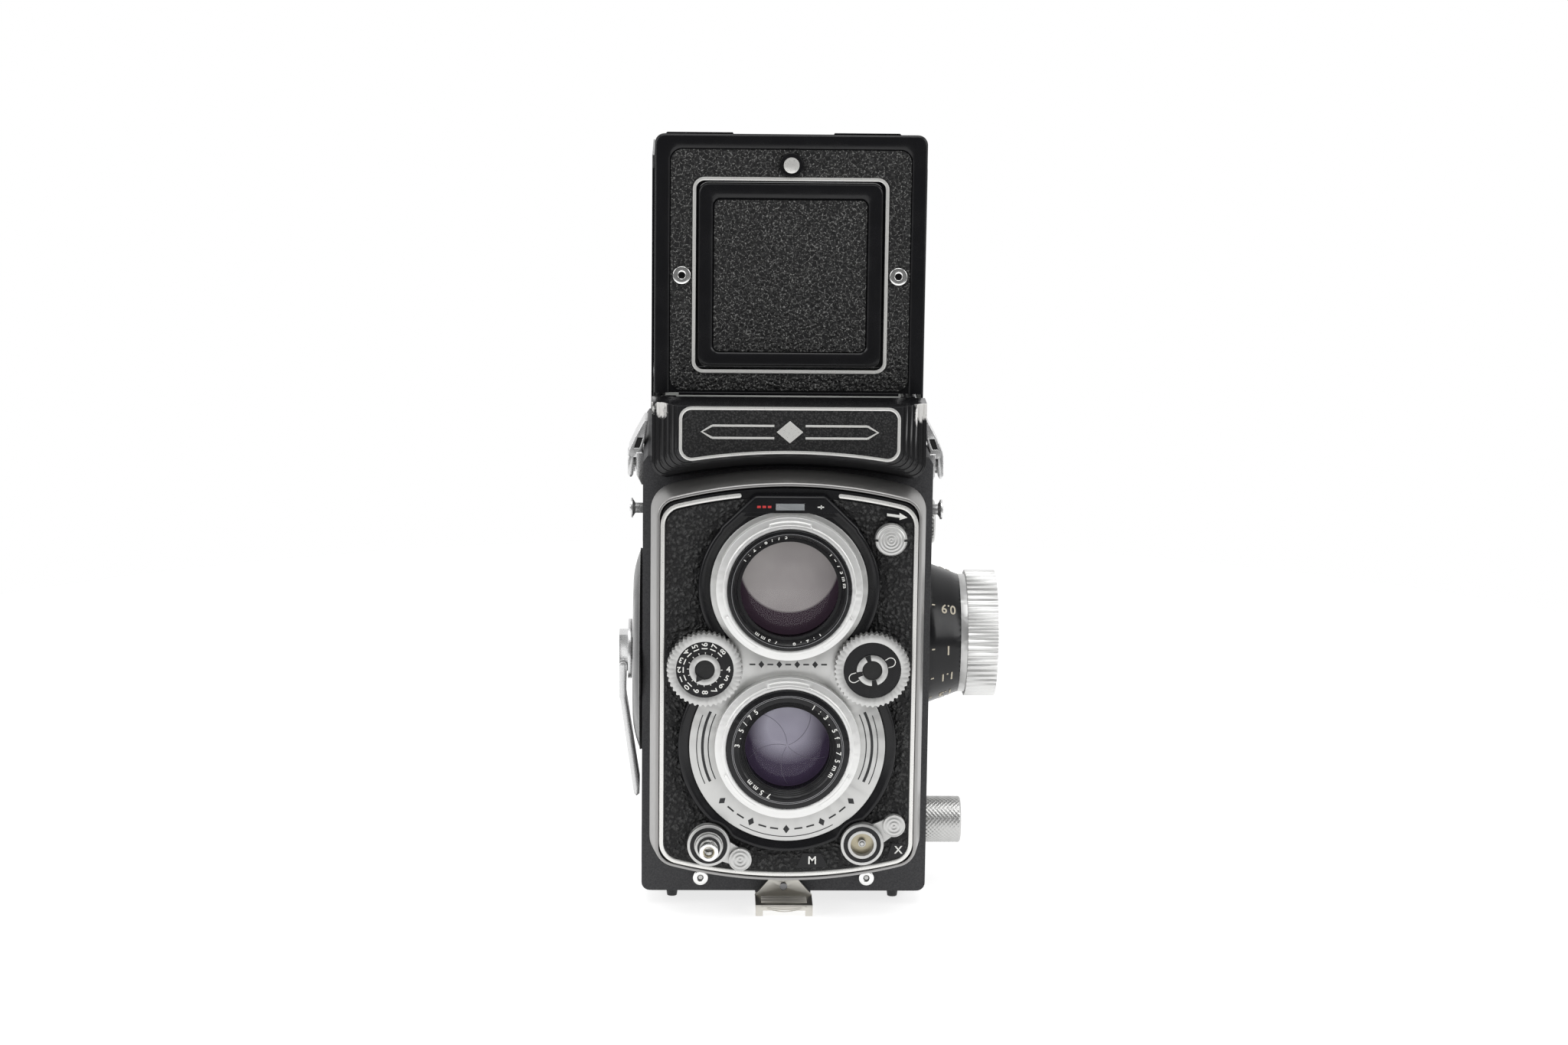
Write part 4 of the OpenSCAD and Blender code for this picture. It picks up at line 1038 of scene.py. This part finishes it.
def nameplate():
    """Rounded ribs down the sides and round the lower corners of the stepped casting, and a domed trim."""
    step_in, step_up, sunk = 1.3, 0.95, 0.62
    for k in range(6):
        w, low = 35.4 - step_in * k - sunk, 116.7 + step_up * k + sunk
        outline = hanging(w, low, 136.25, 0, 3.4, 160.6)
        path = outline[1:] + outline[:1]
        sweep(f"casting_rib_{k}", path, bead(0.66, -33.4 - k), WORN, "body", closed=False)
    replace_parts(sweep("nameplate_trim_strip", hanging(27.98, 122.42, 135.73, 2.8, 2.9, 160.4),
                      strip(0.425, -39, front("nameplate_trim")), TRIM, "body"), "nameplate_trim")


# ---- Hood and nameplate details, and fittings ----


def hood_details():
    button = middle("magnifier_button")
    disc("button_seat", 3.05, LID_Y - 0.35, LID_Y + 0.3, button, GLOSS, "lid", 0.15)
    slab("flap_mirror", [(-12, 147), (12, 147), (12, 153.5), (-12, 153.5)], -23.86, -23.7, MIRROR, "flap", 0.05)


def nameplate_details():
    """A plain ornament of two bars and a lozenge fills the nameplate."""
    y = front("nameplate_panel")
    z = middle("nameplate_panel").z + 0.6
    rise, bar_end, line = 1.6, 19.9, 0.55
    for side, letter in SIDES:
        for k, row in enumerate((-rise, rise)):
            points = [(side * 4, z + row), (side * bar_end, z + row)]
            slab(f"ornament_bar_{k}_{letter}", stroke(points, line), y - 0.2, y + 0.05, TRIM, "body", 0.06)
        tip = [(side * bar_end, z + rise), (side * 22.6, z), (side * bar_end, z - rise)]
        slab(f"ornament_tip_{letter}", stroke(tip, line), y - 0.2, y + 0.05, TRIM, "body", 0.06)
    diamond = [(0, z + 2.9), (3.4, z), (0, z - 2.9), (-3.4, z)]
    slab("ornament_lozenge", diamond, y - 0.24, y + 0.05, TRIM, "body", 0.1)


def fittings():
    """Painted shade in the clip slots of the strap lugs, pins in the front studs, ribs and a screw on the back latch,
    and the leather of the hinged back."""
    for side, name in ((-1, "left"), (1, "right")):
        # A matt black slab in each lug's clip slot is painted shade
        slot_shade = [(side * x, z) for x, z in ((37.85, 122.2), (39.15, 122.2), (40.05, 119.6), (38.8, 119.6))]
        slab(f"clip_slot_shade_{name}", slot_shade, -9.3, -6.1, MATT_BLACK, "body", 0)
        stud, face = Vector((side * 22, 0, middle("front_studs").z)), front("front_studs")
        disc(f"stud_pin_{name}", 0.62, face + 0.35, face + 1.2, stud, SATIN, "body", 0.15)
    lip, pad_top, half = front("back_latch"), 3.05, 6
    for k in range(3):
        sag = 0.35 + 0.6 * k
        arc = [(i - half, pad_top - sag * (1 - (i / half - 1) ** 2)) for i in range(2 * half + 1)]
        slab(f"latch_rib_{k}", stroke(arc, 0.24), lip - 0.14, lip + 0.1, LATCH, "latch", 0.06)
    slab("back_leather", rounded(-33.8, 33.8, 8, 112, 3), DOOR_Y - 0.3, DOOR_Y + 0.35, BOARD_LEATHER, "door", 0.15)
    disc("latch_screw_head", 1.02, -32.4, -31.9, Vector((0, 0, 5.9)), STEEL, "latch", 0.2)


# ---- Stage ----


def stage_floor():
    """Small pale floor that keeps only a faint shadow."""
    mesh = bpy.data.meshes.new("floor")
    radius, count = 0.42, 96
    rim = [(radius * cos(2 * pi * k / count), radius * sin(2 * pi * k / count), 0)
           for k in range(count)]
    mesh.from_pydata(rim, [], [tuple(range(count))])
    floor = linked("floor", mesh)
    s = Shader("floor_white", (0.42, 0.42, 0.42), 0.9, Emission_Color=(1, 1, 1, 1), Emission_Strength=0.76)
    floor.data.materials.append(s.material)


def world_light():
    """White all round for the eye, with a darker room in front for reflections."""
    world = bpy.data.worlds.new("studio")
    bpy.context.scene.world = world
    world.use_nodes = True
    tree = world.node_tree
    tree.nodes.clear()
    coords, split, path, output = (add_node(tree, kind) for kind in ("TexCoord", "SeparateXYZ", "LightPath",
                                                                     "OutputWorld"))
    depth = add_node(tree, "MapRange", {"From Min": -0.8, "From Max": 0.3, "To Min": 0.17, "To Max": 0.95})
    seen = add_node(tree, "Math", operation="MAXIMUM")
    background = add_node(tree, "Background", {"Color": (1, 1, 1, 1)})
    for source, target in ((coords.outputs["Generated"], split.inputs["Vector"]),
                           (split.outputs["Y"], depth.inputs["Value"]),
                           (path.outputs["Is Camera Ray"], seen.inputs[0]),
                           (depth.outputs["Result"], seen.inputs[1]),
                           (seen.outputs[0], background.inputs["Strength"]),
                           (background.outputs[0], output.inputs["Surface"])):
        tree.links.new(source, target)


def softbox(name, place, target, size, power):
    data = bpy.data.lights.new(name, "AREA")
    data.shape = "RECTANGLE"
    data.size, data.size_y = size
    data.energy = power
    lamp = linked(name, data)
    lamp.location = place
    lamp.rotation_euler = (Vector(target) - Vector(place)).to_track_quat("-Z", "Y").to_euler()


def lights():
    middle_of_camera = (0, -0.02, 0.1)
    softbox("left_box", (-0.9, -0.6, 0.5), middle_of_camera, (0.5, 0.8), 4)
    softbox("right_box", (0.9, -0.6, 0.5), middle_of_camera, (0.5, 0.8), 4)
    softbox("top_box", (0.0, -0.45, 1.1), middle_of_camera, (1.0, 0.7), 6)


def photo_camera():
    """85 mm lens about 0.95 m in front, 12 degrees above the level."""
    yaw, pitch, roll = radians(1.770), radians(12.161), radians(0.691)
    ahead = Vector((sin(yaw) * cos(pitch), cos(yaw) * cos(pitch), -sin(pitch)))
    level = Vector((cos(yaw), -sin(yaw), 0))
    up = level.cross(ahead)
    right = cos(roll) * level + sin(roll) * up
    above = cos(roll) * up - sin(roll) * level
    data = bpy.data.cameras.new("photo_camera")
    data.lens, data.sensor_width = 85, 36
    camera = linked("photo_camera", data)
    turn = Matrix((right, above, -ahead)).transposed().to_4x4()
    camera.matrix_world = Matrix.Translation(Vector((-29.998, -969.78, 306.618)) * MM) @ turn
    bpy.context.scene.camera = camera


dress_nodes()
board()
surround()
lid()
flap()
nameplate()
lens_details()
escutcheon_details()
wheel_details()
socket_details()
timer_details()
board_marks()
window_details()
focus_details()
side_details()
hood_details()
nameplate_details()
fittings()
stage_floor()
world_light()
lights()
photo_camera()
bpy.context.scene.view_settings.view_transform = "Standard"
